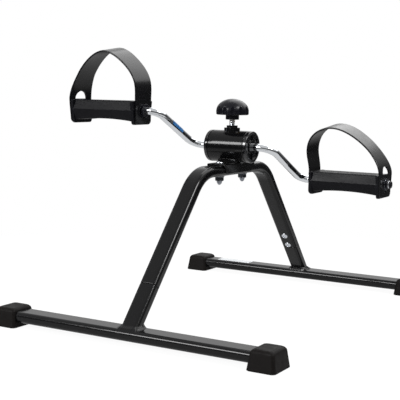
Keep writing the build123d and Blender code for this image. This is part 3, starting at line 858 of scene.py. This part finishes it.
@dataclass
class Hub:
    """Hub on its saddle, with the fixings that hold it to the arch. Sizes in millimetres."""

    wall: float = 2.5
    lip: float = 2.0
    inner_lip: float = 0.4
    bolt_head: float = 5.2
    bolt_head_height: float = 3.2
    bolt_rim_share: float = 0.25
    bolt_shank: float = 3.0
    nut_flats: float = 10.0
    nut_hex: float = 5.4
    nut_dome: float = 5.4
    nut_dome_share: float = 0.35
    nut_turn: float = 0.26
    nut_columns: int = 96

    def build(self) -> None:
        """Make the hub's pieces."""
        self.shell()
        self.bolts()
        self.nuts()
        for node, edge in (("hub_saddle", 0.5), ("hub_cradle", 0.4), ("tension_boss", 0.35)):
            add_softened(f"{node}_block", node, ENAMEL, Body.FRAME, edge * MM)
        for hand in ("left", "right"):
            node = f"{hand}_hub_cap"
            add_softened(f"{node}_moulding", node, POLISHED_ABS, Body.FRAME,
                         0.6 * MM)
        add_softened("saddle_washer_rings", "saddle_washers", BRIGHT_ZINC, Body.FRAME,
                     0.15 * MM)

    def shell(self) -> None:
        """Tube turned about X with a rolled lip at each end."""
        low, high = (np.array(c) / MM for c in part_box("hub_shell"))
        centre, half = (low + high) / 2, (high - low)[0] / 2
        outer = (high - low)[2] / 2
        inner = outer - self.wall
        profile = rounded([(outer, -half), (outer, half), (inner, half), (inner, -half)],
                          [self.lip, self.lip, self.inner_lip, self.inner_lip], 5)
        grid = lathe(profile, centre, X_AXIS, 128)
        add_piece("hub_tube", [Shell(grid * MM, ring=True)], ENAMEL, Body.FRAME, ["hub_shell"])

    def bolts(self) -> None:
        """Round-head bolts: a dome over a short rim, and a plain shank."""
        low, high = (np.array(c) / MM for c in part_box("saddle_bolts"))
        end = low[2] + self.bolt_head_height - high[2]
        rim, turn = self.bolt_rim_share, quarter_turn(12)
        dome = np.stack([self.bolt_head * np.sin(turn),
                         self.bolt_head_height * (rim + (1 - rim) * np.cos(turn))], axis=1)
        rest = [(self.bolt_head, 0.0), (self.bolt_shank, -0.05), (self.bolt_shank, end), (0.0, end)]
        profile = np.concatenate([dome, rest])
        shells = []
        for y in (low[1] + self.bolt_head, high[1] - self.bolt_head):
            origin = np.array([0.0, y, high[2] - self.bolt_head_height])
            shells.append(Shell(lathe(profile, origin, Z_AXIS, 48) * MM, capped=False))
        add_piece("saddle_bolt_set", shells, BRIGHT_ZINC, Body.FRAME, ["saddle_bolts"])

    def nuts(self) -> None:
        """Acorn nuts: r(a, h) is the hexagon's edge, cut by a chamfer cone, then a dome below.

        hexagon: f / cos(a mod 60 deg - 30 deg), with f half the width across flats.
        """
        low, high = (np.array(c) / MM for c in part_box("acorn_nuts"))
        flat, count = self.nut_flats / 2, self.nut_columns
        angle = full_turn(count)
        edge = flat / np.cos(np.mod(angle, math.pi / 3) - math.pi / 6)
        levels = np.array([0.0, 0.5, self.nut_hex - 0.6, self.nut_hex])
        cone = flat + np.array([0.05, 0.85, 0.85, 0.05])
        hexagon = np.minimum(edge[None], cone[:, None])
        turn = np.linspace(0.12, QUARTER, 14)
        tip = self.nut_flats * self.nut_dome_share * np.cos(turn)
        dome = np.broadcast_to(tip[:, None], (len(turn), count))
        radius = np.concatenate([np.zeros((1, count)), hexagon, dome])
        depth = np.concatenate([[0.0], levels, self.nut_hex + self.nut_dome * np.sin(turn)])
        shells = []
        for y in (low[1] + flat, high[1] - flat):
            x = radius * np.cos(angle + self.nut_turn)
            across = radius * np.sin(angle + self.nut_turn) + y
            down = np.broadcast_to(high[2] - depth[:, None], x.shape)
            shells.append(Shell(np.stack([x, across, down], axis=-1) * MM, capped=False))
        add_piece("saddle_acorn_nuts", shells, ZINC, Body.FRAME, ["acorn_nuts"])


@dataclass
class TensionKnob:
    """Hand knob on its chrome screw. Sizes in millimetres."""

    radius: float = 21.6
    height: float = 21.0
    band: float = 5.0
    edge: float = 2.0
    lobes: int = 12
    flute: float = 3.2
    collar: float = 8.8
    collar_height: float = 6.3
    bore: float = 6.55
    bore_depth: float = 0.6
    softness: float = 8.0
    lobe_columns: int = 26
    thread_pitch: float = 1.25
    thread_depth: float = 0.55

    def build(self) -> None:
        """Make the knob and the screw under it."""
        self.knob()
        self.screw()

    def knob(self) -> None:
        """Dome over a band of flutes, and a collar.

        The radius is the softened smaller of two: the profile's R(t), and each flute's wall
        c cos d - sqrt(f^2 - c^2 sin^2 d), where d is the angle from the flute's middle.
        """
        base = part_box("tension_knob")[0][2] / MM + self.collar_height
        turn = quarter_turn(40)
        rise = self.band + (self.height - self.band) * np.cos(turn)
        dome = np.stack([self.radius * np.sin(turn), rise], axis=1)
        wall = np.stack([np.full(6, self.radius), np.linspace(self.band, self.edge, 7)[1:]], axis=1)
        arc = quarter_turn(7)[1:]
        rim = np.stack([self.radius - self.edge * (1 - np.cos(arc)),
                        self.edge * (1 - np.sin(arc))], axis=1)
        foot, seat = -self.collar_height, -self.collar_height + self.bore_depth
        under = rounded([(self.radius - self.edge, 0.0), (self.collar, 0.0), (self.collar, foot),
                         (self.bore, foot), (self.bore, seat), (0.0, seat)],
                        [0, 1.0, 0.7, 0.2, 0, 0], 4, closed=False)[1:]
        profile = np.concatenate([dome, wall, rim, under])
        angle = full_turn(self.lobes * self.lobe_columns)
        step = FULL_TURN / self.lobes
        off = np.mod(angle + step / 2, step) - step / 2
        reach = self.radius + self.flute * 0.45
        inside = self.flute ** 2 - (reach * np.sin(off)) ** 2
        wall_radius = reach * np.cos(off) - np.sqrt(np.clip(inside, 0, None))
        wall_radius = np.where(inside > 0, wall_radius, self.radius * 2)
        sharp, plain = self.softness, profile[:, :1]
        smaller = (np.exp(-sharp * (plain - self.radius))
                   + np.exp(-sharp * (wall_radius - self.radius)))
        mixed = -np.log(smaller) / sharp
        fluted = plain > self.collar + 1.5
        radius = np.where(fluted, np.minimum(mixed + self.radius, plain), plain)
        x, y = radius * np.cos(angle), radius * np.sin(angle)
        z = np.broadcast_to(profile[:, 1:] + base, x.shape)
        grid = np.stack([x, y, z], axis=-1)
        add_piece("tension_hand_knob", [Shell(grid * MM, capped=False)], ABS, Body.HANDLE,
                  ["tension_knob"], crease=50)

    def screw(self) -> None:
        """Screw turned about Z, with a fine ridged thread over its whole length.

        r(h) = r - d |2 frac(h / p) - 1|, with p the pitch and d the thread's depth.
        """
        low, high = (np.array(c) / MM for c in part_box("tension_screw"))
        radius = (high[0] - low[0]) / 2
        height = np.linspace(0, high[2] - low[2], 260)
        ridge = np.abs(2 * np.mod(height / self.thread_pitch, 1.0) - 1)
        r = radius - self.thread_depth * ridge
        profile = np.concatenate([[(0.0, 0.0)], np.stack([r, height], axis=1), [(0.0, height[-1])]])
        grid = lathe(profile, np.array([0.0, 0.0, low[2]]), Z_AXIS, 48)
        add_piece("tension_threaded_screw", [Shell(grid * MM, capped=False)], CHROME, Body.HANDLE,
                  ["tension_screw"], crease=60, even=False)


# ------------------------------------------------------------------ crank


@dataclass
class Crank:
    """One bent chrome rod: shaft, two arms and two axles. Sizes in millimetres."""

    rod: float = 5.0
    bend: float = 14.0
    shaft_bend: float = 19.0
    arm_inner: float = 58.0
    arm_outer: float = 62.0
    end_edge: float = 0.6
    bend_steps: int = 18

    def build(self) -> None:
        """Make the rod and the small rings on it."""
        self.rod_piece()
        for side in Side:
            node = f"{side.hand}_stop_ring"
            add_softened(f"{node}_collar", node, ABS, Body.CRANK, 0.3 * MM)
            node = f"{side.hand}_axle_cap"
            add_softened(f"{node}_push", node, ABS, Body.CRANK, 0.25 * MM)
            node = f"{side.hand}_axle_washers"
            add_softened(f"{node}_rings", node, ZINC, Body.CRANK, 0.15 * MM)

    def rod_piece(self) -> None:
        """Circle carried along a flat line with four rounded corners."""
        low, high = (np.array(c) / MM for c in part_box("crank_rod"))
        hub = middle("hub_shell") / MM
        axles = [middle(f"{s.hand}_stop_ring") / MM for s in Side]
        corners = [(low[0], *axles[0][1:]), (-self.arm_outer, *axles[0][1:]),
                   (-self.arm_inner, *hub[1:]), (self.arm_inner, *hub[1:]),
                   (self.arm_outer, *axles[1][1:]), (high[0], *axles[1][1:])]
        bends = [0, self.bend, self.shaft_bend, self.shaft_bend, self.bend, 0]
        path = rounded(corners, bends, self.bend_steps, closed=False)
        tilt = axles[1] - axles[0]
        across = np.cross(X_AXIS, tilt * np.array([0.0, 1.0, 1.0]))
        across /= np.linalg.norm(across)
        grid = eased_sweep(circle(self.rod, 48), path, across, self.end_edge)
        add_piece("crank_bent_rod", [Shell(grid * MM)], CHROME, Body.CRANK, ["crank_rod"])


# ------------------------------------------------------------------ pedals


@dataclass
class Pedal:
    """Foot block with its strap and bushes. Sizes in millimetres, about the pedal's axle."""

    side: Side
    loop: tuple[tuple[float, float], ...]
    plate: float = 4.0
    top: float = 12.5
    crease: float = 0.3
    bottom: float = -14.2
    waist: float = 3.0
    half_top: float = 18.0
    half_crease: float = 22.0
    half_bottom: float = 17.0
    groove: float = 1.2
    groove_pitch: float = 7.0
    grooves: int = 5
    groove_half: float = 0.95
    groove_ramp: float = 0.35
    groove_end: float = 6.5
    crown_margin: float = 2.2
    crown_points: int = 121
    plate_overlap: float = 0.6
    plate_edge: float = 0.7
    end_run: float = 4.0
    tab_bottom: float = -18.0
    tab_half_top: float = 23.6
    tab_half_bottom: float = 18.8
    strap_thickness: float = 2.2
    strap_half: float = 19.0
    strap_inner_half: float = 18.0
    strap_shoulder: float = 20.5
    strap_shoulder_half: float = 22.9
    strap_end: float = 4.5
    strap_edge: float = 0.95
    strap_ease: int = 7
    flare: float = 46.0
    strap_base: float = -17.0
    strap_lean: float = 5.0
    strap_height: float = 80.0
    window_radius: float = 12.0
    window_height: float = 10.0
    window_sill: float = 1.0
    hole: float = 9.6

    def __post_init__(self) -> None:
        """Take the axle's place and the block's ends from the frame."""
        self.body = Body[f"{self.side.name}_PEDAL"]
        hand = self.side.hand
        self.axle = middle(f"{hand}_stop_ring") / MM
        low, high = (np.array(c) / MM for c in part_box(f"{hand}_tread"))
        self.low, self.high = low[0], high[0]

    def build(self) -> None:
        """Make the pedal's pieces."""
        self.block()
        self.strap()
        node = f"{self.side.hand}_pedal_bushes"
        add_softened(f"{node}_pair", node, ABS, self.body, 0.25 * MM)

    def block(self) -> None:
        """Six-sided block between two end plates.

        The block is one rounded outline carried along X; its floor rises by w (1 - (x/h)^2) at mid
        length and its top dips in shallow grooves that fade out before the plates.
        """
        corners = [(self.half_top, self.top), (self.half_crease, self.crease),
                   (self.half_bottom, self.bottom), (-self.half_bottom, self.bottom),
                   (-self.half_crease, self.crease), (-self.half_top, self.top)]
        sides = rounded(corners, [1.6, 1.8, 2.0, 2.0, 1.8, 1.6], 5)
        reach, count = self.half_top - self.crown_margin, self.crown_points
        crown = np.stack([np.linspace(-reach, reach, count), np.full(count, self.top)], axis=1)
        outline = np.concatenate([sides, crown])
        is_crown = np.concatenate([np.zeros(len(sides)), np.ones(count)])
        line = (np.arange(self.grooves) - (self.grooves - 1) / 2) * self.groove_pitch
        gap = np.abs(outline[:, :1] - line).min(axis=1)
        dip = is_crown * np.clip((self.groove_half - gap) / self.groove_ramp, 0, 1)
        start = self.low + self.plate * self.plate_overlap
        end = self.high - self.plate * self.plate_overlap
        run = np.linspace(start + self.end_run, end - self.end_run, 33)
        x = np.concatenate([[start], run, [end]])
        inner = (x - (start + end) / 2) / ((end - start) / 2)
        rise = self.waist * (1 - inner ** 2)
        fade = np.clip((1 - np.abs(inner)) * (end - start) / 2 - self.groove_end, 0, 1)
        lower = np.clip((self.crease - outline[:, 1]) / (self.crease - self.bottom), 0, 1)
        y = np.broadcast_to(outline[:, 0] + self.axle[1], (len(x), len(outline)))
        dips = self.groove * fade[:, None] * dip
        z = outline[:, 1] + rise[:, None] * lower - dips + self.axle[2]
        grid = np.stack([np.broadcast_to(x[:, None], z.shape), y, z], axis=-1)
        shells = [Shell(grid * MM)]
        tab = rounded([(self.tab_half_top, self.top), (self.tab_half_bottom, self.tab_bottom),
                       (-self.tab_half_bottom, self.tab_bottom), (-self.tab_half_top, self.top)],
                      [1.5, 4.0, 4.0, 1.5], 6)
        for edge in (self.low, self.high - self.plate):
            path = np.array([[edge, *self.axle[1:]], [edge + self.plate, *self.axle[1:]]])
            shells.append(Shell(eased_sweep(tab, path, Y_AXIS, self.plate_edge) * MM))
        node = f"{self.side.hand}_tread"
        add_piece(f"{node}_moulding", shells, POLYPROPYLENE, self.body, [node],
                  crease=40)

    def line(self) -> tuple[np.ndarray, np.ndarray]:
        """The strap's outer line: two straight ends and a smooth curve through the loop's knots.

        The curve is a cubic spline over chord length, clamped upright at both ends; its slopes m
        solve h[i+1] m[i] + 2 (h[i] + h[i+1]) m[i+1] + h[i] m[i+2] = 3 (h[i+1] d[i] + h[i] d[i+1]).

        Returns:
            Points and unit directions, both (rows, 2), from the outer end over the top.
        """
        knots = np.array(self.loop)
        span = np.linalg.norm(np.diff(knots, axis=0), axis=1)
        slope = np.diff(knots, axis=0) / span[:, None]
        count = len(knots)
        system, target = np.eye(count), np.zeros((count, 2))
        target[0], target[-1] = (0.0, 1.0), (0.0, -1.0)
        for n in range(1, count - 1):
            system[n, n - 1:n + 2] = span[n], 2 * (span[n - 1] + span[n]), span[n - 1]
            target[n] = 3 * (span[n] * slope[n - 1] + span[n - 1] * slope[n])
        speed = np.linalg.solve(system, target)
        pieces = []
        for n in range(count - 1):
            t = np.linspace(0, 1, 26, endpoint=n == count - 2)[:, None]
            pieces.append((2 * t ** 3 - 3 * t ** 2 + 1) * knots[n]
                          + (t ** 3 - 2 * t ** 2 + t) * span[n] * speed[n]
                          + (3 * t ** 2 - 2 * t ** 3) * knots[n + 1]
                          + (t ** 3 - t ** 2) * span[n] * speed[n + 1])
        curve = np.concatenate(pieces)
        drop = self.strap_base + self.strap_end * (1 - np.cos(quarter_turn(9)))
        rise = np.concatenate([drop, np.linspace(drop[-1], self.loop[0][1], 12)[1:-1]])
        first = np.stack([np.full(len(rise), self.loop[0][0]), rise], axis=1)
        last = np.stack([np.full(len(rise), self.loop[-1][0]), rise[::-1]], axis=1)
        points = np.concatenate([first, curve, last])
        return points, directions(points)

    def strap(self) -> None:
        """Moulded strap: a thin rounded section carried over the loop.

        The half width follows the height on each side, and its ends round off by a quarter circle.
        The front edge hangs lower by lean * (height / strap height)^2, the rear edge not at all.
        """
        points, way = self.line()
        half_way = len(points) // 2
        height = points[:, 1]
        outer = np.interp(height, [self.tab_bottom, self.top, self.strap_shoulder, self.flare],
                          [self.tab_half_bottom, self.tab_half_top, self.strap_shoulder_half,
                           self.strap_half])
        inner = np.interp(height, [self.top, self.flare], [self.strap_inner_half, self.strap_half])
        half = np.where(np.arange(len(points)) < half_way, outer, inner)
        ease, bend = self.strap_ease, self.strap_end
        half = np.convolve(np.pad(half, ease // 2, mode="edge"), np.ones(ease) / ease, mode="valid")
        tail = np.clip(height - self.strap_base, 0, bend)
        half = half - bend + np.sqrt(np.clip(bend ** 2 - (bend - tail) ** 2, 0.0, None))
        section = rounded_rectangle(half, self.strap_thickness / 2, self.strap_edge, 4)
        inward = np.stack([-way[:, 1], way[:, 0]], axis=1)
        centre = points + inward * self.strap_thickness / 2
        u = centre[:, None, 0] + section[..., 1] * inward[:, None, 0]
        v = centre[:, None, 1] + section[..., 1] * inward[:, None, 1]
        front = (half[:, None] - section[..., 0]) / (2 * half[:, None])
        v = v - self.strap_lean * front * np.clip(height / self.strap_height, 0, 1)[:, None] ** 2
        y = section[..., 0] + self.axle[1]
        grid = np.stack([self.side.value * u, y, v + self.axle[2]], axis=-1)
        node = f"{self.side.hand}_strap"
        made = add_piece(f"{node}_band", [Shell(grid * MM)], VINYL, self.body, [node],
                         crease=40)
        cut(made, [self.window(), self.bore()], 34)

    def window(self) -> Shell:
        """Half-round window through the strap's outer end.

        Returns:
            The closed shell that is taken away.
        """
        turn = np.linspace(0, math.pi, 25)
        outline = np.stack([self.window_radius * np.cos(turn),
                            self.window_height * np.sin(turn)], axis=1)
        start = self.side.value * (self.loop[0][0] + self.loop[-1][0]) / 2
        base = self.axle + (self.top + self.window_sill) * Z_AXIS
        path = np.array([[start, *base[1:]], [start * 2, *base[1:]]])
        grid = path[:, None] + outline[None, :, :1] * Y_AXIS + outline[None, :, 1:] * Z_AXIS
        return Shell(grid * MM)

    def bore(self) -> Shell:
        """Round hole for the bushes' flanges through both ends.

        Returns:
            The closed shell that is taken away.
        """
        start, end = self.side.value * 60.0, self.side.value * 200.0
        path = np.array([[start, *self.axle[1:]], [end, *self.axle[1:]]])
        return Shell(sweep(circle(self.hole, 48), path, Y_AXIS) * MM)


# ------------------------------------------------------------------ carried-over nodes

KEPT = {
    STEEL: ("front_leg_insert", "rear_leg_insert", "pressure_plate", "thrust_washers"),
    ZINC: ("shaft_rings",),
    NYLON: ("bearing_block", "brake_block"),
    BRASS: ("knob_insert",),
    LABEL: ("rail_label",),
    STICKER: ("crank_sticker",),
}


def dress_kept() -> None:
    """Give the nodes that keep their shape their finishes."""
    for finish, nodes in KEPT.items():
        for node in nodes:
            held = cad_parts[node]
            made = finish.material()
            if held.material_slots:
                for place in held.material_slots:
                    place.material = made
            else:
                held.data.materials.append(made)
            log.info("%s: dressed in %s", node, finish.name)


# ------------------------------------------------------------------ studio


@dataclass(frozen=True)
class Lamp:
    """Soft rectangular lamp: where it hangs, the point it faces, its size and its watts."""

    name: str
    place: tuple[float, float, float]
    aim: tuple[float, float, float]
    size: tuple[float, float]
    power: float


LAMPS = (
    Lamp("top_back_panel", (0.2, 1.5, 1.9), (0.0, 0.05, 0.2), (2.6, 2.2), 36.0),
    Lamp("front_left_strip", (-0.85, -2.1, 1.15), (0.0, 0.0, 0.2), (1.15, 0.62), 44.0),
    Lamp("right_strip", (1.6, -0.18, 1.7), (0.0, 0.0, 0.2), (0.9, 0.5), 30.0),
)


@dataclass
class Studio:
    """Pale floor, white surroundings, soft lamps and the camera, in metres and degrees.

    A reach is two distances from the origin, a level the strength of light at the first and at the
    second. Heights and the card's edge are sines and cosines of the direction looked in.
    """

    camera_place: tuple[float, float, float] = (0.614967, -1.141425, 0.292982)
    azimuth: float = 30.104
    pitch: float = 6.517
    roll: float = 1.1
    lens: float = 88.33
    floor_radius: float = 30.0
    floor_drop: float = 0.0002
    shade_reach: tuple[float, float] = (0.42, 0.75)
    shade_glow: float = -0.06
    shade_share: float = 0.1
    mirror_reach: tuple[float, float] = (0.4, 1.3)
    mirror_level: tuple[float, float] = (0.62, 0.06)
    sky_height: tuple[float, float] = (0.1, 0.45)
    sky_level: tuple[float, float] = (0.1, 0.7)
    card_way: tuple[float, float, float] = (-0.5, 0.86, 0.1)
    card_edge: tuple[float, float] = (0.84, 0.96)
    card_level: float = 0.5
    fill_level: float = 0.32

    def build(self) -> None:
        """Make the floor, world, lamps and camera."""
        self.floor()
        self.world()
        for lamp in LAMPS:
            self.lamp(lamp)
        self.camera()

    def floor(self) -> None:
        """Large round floor; it is white to the eye, and darker only where the object shades it. To
        a reflection it glows with a painted pool of light, bright near the object and dimmer
        further out.
        """
        angle = full_turn(96)
        spoke = np.stack([np.cos(angle), np.sin(angle), np.zeros(len(angle))], axis=1)
        rings = np.array([0.0, 0.4, 0.8, 1.6, 4.0, self.floor_radius])
        grid = rings[:, None, None] * spoke
        mesh = bpy.data.meshes.new("studio_floor")
        mesh.from_pydata(grid.reshape(-1, 3).tolist(), [], Shell(grid, capped=False).faces(0))
        finish_mesh(mesh, 180)
        if mesh.polygons[0].normal.z < 0:
            mesh.flip_normals()
        made = bpy.data.objects.new("studio_floor", mesh)
        made.location = (0.0, 0.0, -self.floor_drop)
        bpy.context.scene.collection.objects.link(made)
        material = bpy.data.materials.new("studio_white_paper")
        material.use_nodes = True
        tree = material.node_tree
        tree.nodes.clear()
        path = put(tree, "ShaderNodeLightPath")
        glossy = path.outputs["Is Glossy Ray"]
        seen = put(tree, "ShaderNodeMath", {0: path.outputs["Is Camera Ray"], 1: glossy},
                   operation="MAXIMUM")
        seen = put(tree, "ShaderNodeMath", {
            0: seen.outputs[0], 1: path.outputs["Is Transmission Ray"]}, operation="MAXIMUM")
        place = put(tree, "ShaderNodeTexCoord").outputs["Object"]
        reach = put(tree, "ShaderNodeVectorMath", {0: place}, operation="LENGTH")
        near = put(tree, "ShaderNodeMapRange", {
            0: reach.outputs["Value"], 1: self.shade_reach[0], 2: self.shade_reach[1], 3: 1.0,
            4: 0.0}, interpolation_type="SMOOTHSTEP")
        glow = put(tree, "ShaderNodeMath", {0: near.outputs[0], 1: self.shade_glow, 2: 1.0},
                   operation="MULTIPLY_ADD")
        share = put(tree, "ShaderNodeMath", {0: near.outputs[0], 1: self.shade_share},
                    operation="MULTIPLY")
        paper = put(tree, "ShaderNodeBsdfDiffuse", {0: linear("#f4f4f4")})
        # Painted pool of light seen only in reflections: the floor glows brightly near the object
        # and dims further out.
        far = put(tree, "ShaderNodeMapRange", {
            0: reach.outputs["Value"], 1: self.mirror_reach[0], 2: self.mirror_reach[1],
            3: self.mirror_level[0], 4: self.mirror_level[1]}, interpolation_type="SMOOTHSTEP")
        glow = put(tree, "ShaderNodeMix", {0: glossy, 2: glow.outputs[0], 3: far.outputs[0]},
                   data_type="FLOAT")
        light = put(tree, "ShaderNodeEmission", {0: linear("#ffffff"), 1: glow.outputs[0]})
        dark = put(tree, "ShaderNodeBsdfDiffuse", {0: linear("#000000")})
        shaded = put(tree, "ShaderNodeMixShader", {
            0: share.outputs[0], 1: dark.outputs[0], 2: paper.outputs[0]})
        both = put(tree, "ShaderNodeAddShader", {0: light.outputs[0], 1: shaded.outputs[0]})
        chosen = put(tree, "ShaderNodeMixShader", {
            0: seen.outputs[0], 1: paper.outputs[0], 2: both.outputs[0]})
        put(tree, "ShaderNodeOutputMaterial", {0: chosen.outputs[0]})
        made.data.materials.append(material)

    def world(self) -> None:
        """White to the eye; to a reflection, bright overhead and behind, dim round the horizon."""
        world = bpy.data.worlds.new("studio_world")
        bpy.context.scene.world = world
        world.use_nodes = True
        tree = world.node_tree
        tree.nodes.clear()
        path = put(tree, "ShaderNodeLightPath")
        way = put(tree, "ShaderNodeTexCoord").outputs["Generated"]
        split = put(tree, "ShaderNodeSeparateXYZ", {0: way})
        high = put(tree, "ShaderNodeMapRange", {
            0: split.outputs[2], 1: self.sky_height[0], 2: self.sky_height[1],
            3: self.sky_level[0], 4: self.sky_level[1]}, interpolation_type="SMOOTHSTEP")
        behind = put(tree, "ShaderNodeVectorMath", {0: way, 1: self.card_way},
                     operation="DOT_PRODUCT")
        card = put(tree, "ShaderNodeMapRange", {
            0: behind.outputs["Value"], 1: self.card_edge[0], 2: self.card_edge[1], 3: 0.0,
            4: self.card_level}, interpolation_type="SMOOTHSTEP")
        high = put(tree, "ShaderNodeMath", {0: high.outputs[0], 1: card.outputs[0]},
                   operation="ADD")
        seen = put(tree, "ShaderNodeMath", {
            0: path.outputs["Is Camera Ray"], 1: path.outputs["Is Transmission Ray"]},
            operation="MAXIMUM")
        gloss = put(tree, "ShaderNodeMix", {
            0: path.outputs["Is Glossy Ray"], 2: self.fill_level, 3: high.outputs[0]},
            data_type="FLOAT")
        level = put(tree, "ShaderNodeMix", {0: seen.outputs[0], 2: gloss.outputs[0], 3: 1.0},
                    data_type="FLOAT")
        ground = put(tree, "ShaderNodeBackground", {0: linear("#ffffff"), 1: level.outputs[0]})
        put(tree, "ShaderNodeOutputWorld", {0: ground.outputs[0]})

    def lamp(self, lamp: Lamp) -> None:
        """Hang one lamp.

        Args:
            lamp: Its place, aim, size and power.
        """
        data = bpy.data.lights.new(lamp.name, "AREA")
        data.shape, data.size, data.size_y = "RECTANGLE", *lamp.size
        data.energy = lamp.power
        made = bpy.data.objects.new(lamp.name, data)
        made.location = lamp.place
        ahead = Vector(lamp.aim) - Vector(lamp.place)
        made.rotation_euler = ahead.to_track_quat("-Z", "Y").to_euler()
        made.visible_camera = False
        bpy.context.scene.collection.objects.link(made)

    def camera(self) -> None:
        """Camera with its turn given as azimuth, downward pitch and roll."""
        azimuth, pitch, roll = (math.radians(v) for v in (self.azimuth, self.pitch, self.roll))
        right = Vector((math.cos(azimuth), math.sin(azimuth), 0.0))
        ahead = Vector((-math.sin(azimuth), math.cos(azimuth), 0.0))
        ahead = ahead * math.cos(pitch) - Vector((0.0, 0.0, 1.0)) * math.sin(pitch)
        up = right.cross(ahead)
        side = right * math.cos(roll) + up * math.sin(roll)
        top = -right * math.sin(roll) + up * math.cos(roll)
        data = bpy.data.cameras.new("camera")
        data.lens, data.sensor_width = self.lens, 36.0
        data.clip_start, data.clip_end = 0.05, 100.0
        made = bpy.data.objects.new("camera", data)
        turn = Matrix((side, top, -ahead)).transposed()
        made.matrix_world = Matrix.Translation(Vector(self.camera_place)) @ turn.to_4x4()
        bpy.context.scene.collection.objects.link(made)
        bpy.context.scene.camera = made


# Knots of each strap's outer line: distance from the middle along X, and height over the axle.
LEFT_LOOP = ((186.0, 12.5), (181.6, 35.0), (164.3, 64.3), (137.0, 81.3),
             (105.5, 66.3), (84.6, 35.0), (83.8, 12.5))
RIGHT_LOOP = ((184.0, 12.5), (174.7, 36.0), (148.3, 62.4), (108.0, 76.5),
              (85.3, 63.8), (78.0, 39.5), (81.8, 12.5))


def main() -> None:
    """Build the object and its studio."""
    logging.basicConfig(level=logging.INFO, format="%(name)s %(message)s")
    bpy.context.scene.view_settings.view_transform = "Standard"
    FloorFrame().build()
    Hub().build()
    TensionKnob().build()
    Crank().build()
    Pedal(Side.LEFT, LEFT_LOOP).build()
    Pedal(Side.RIGHT, RIGHT_LOOP).build()
    dress_kept()
    Studio().build()


if __name__ == "__main__":
    main()
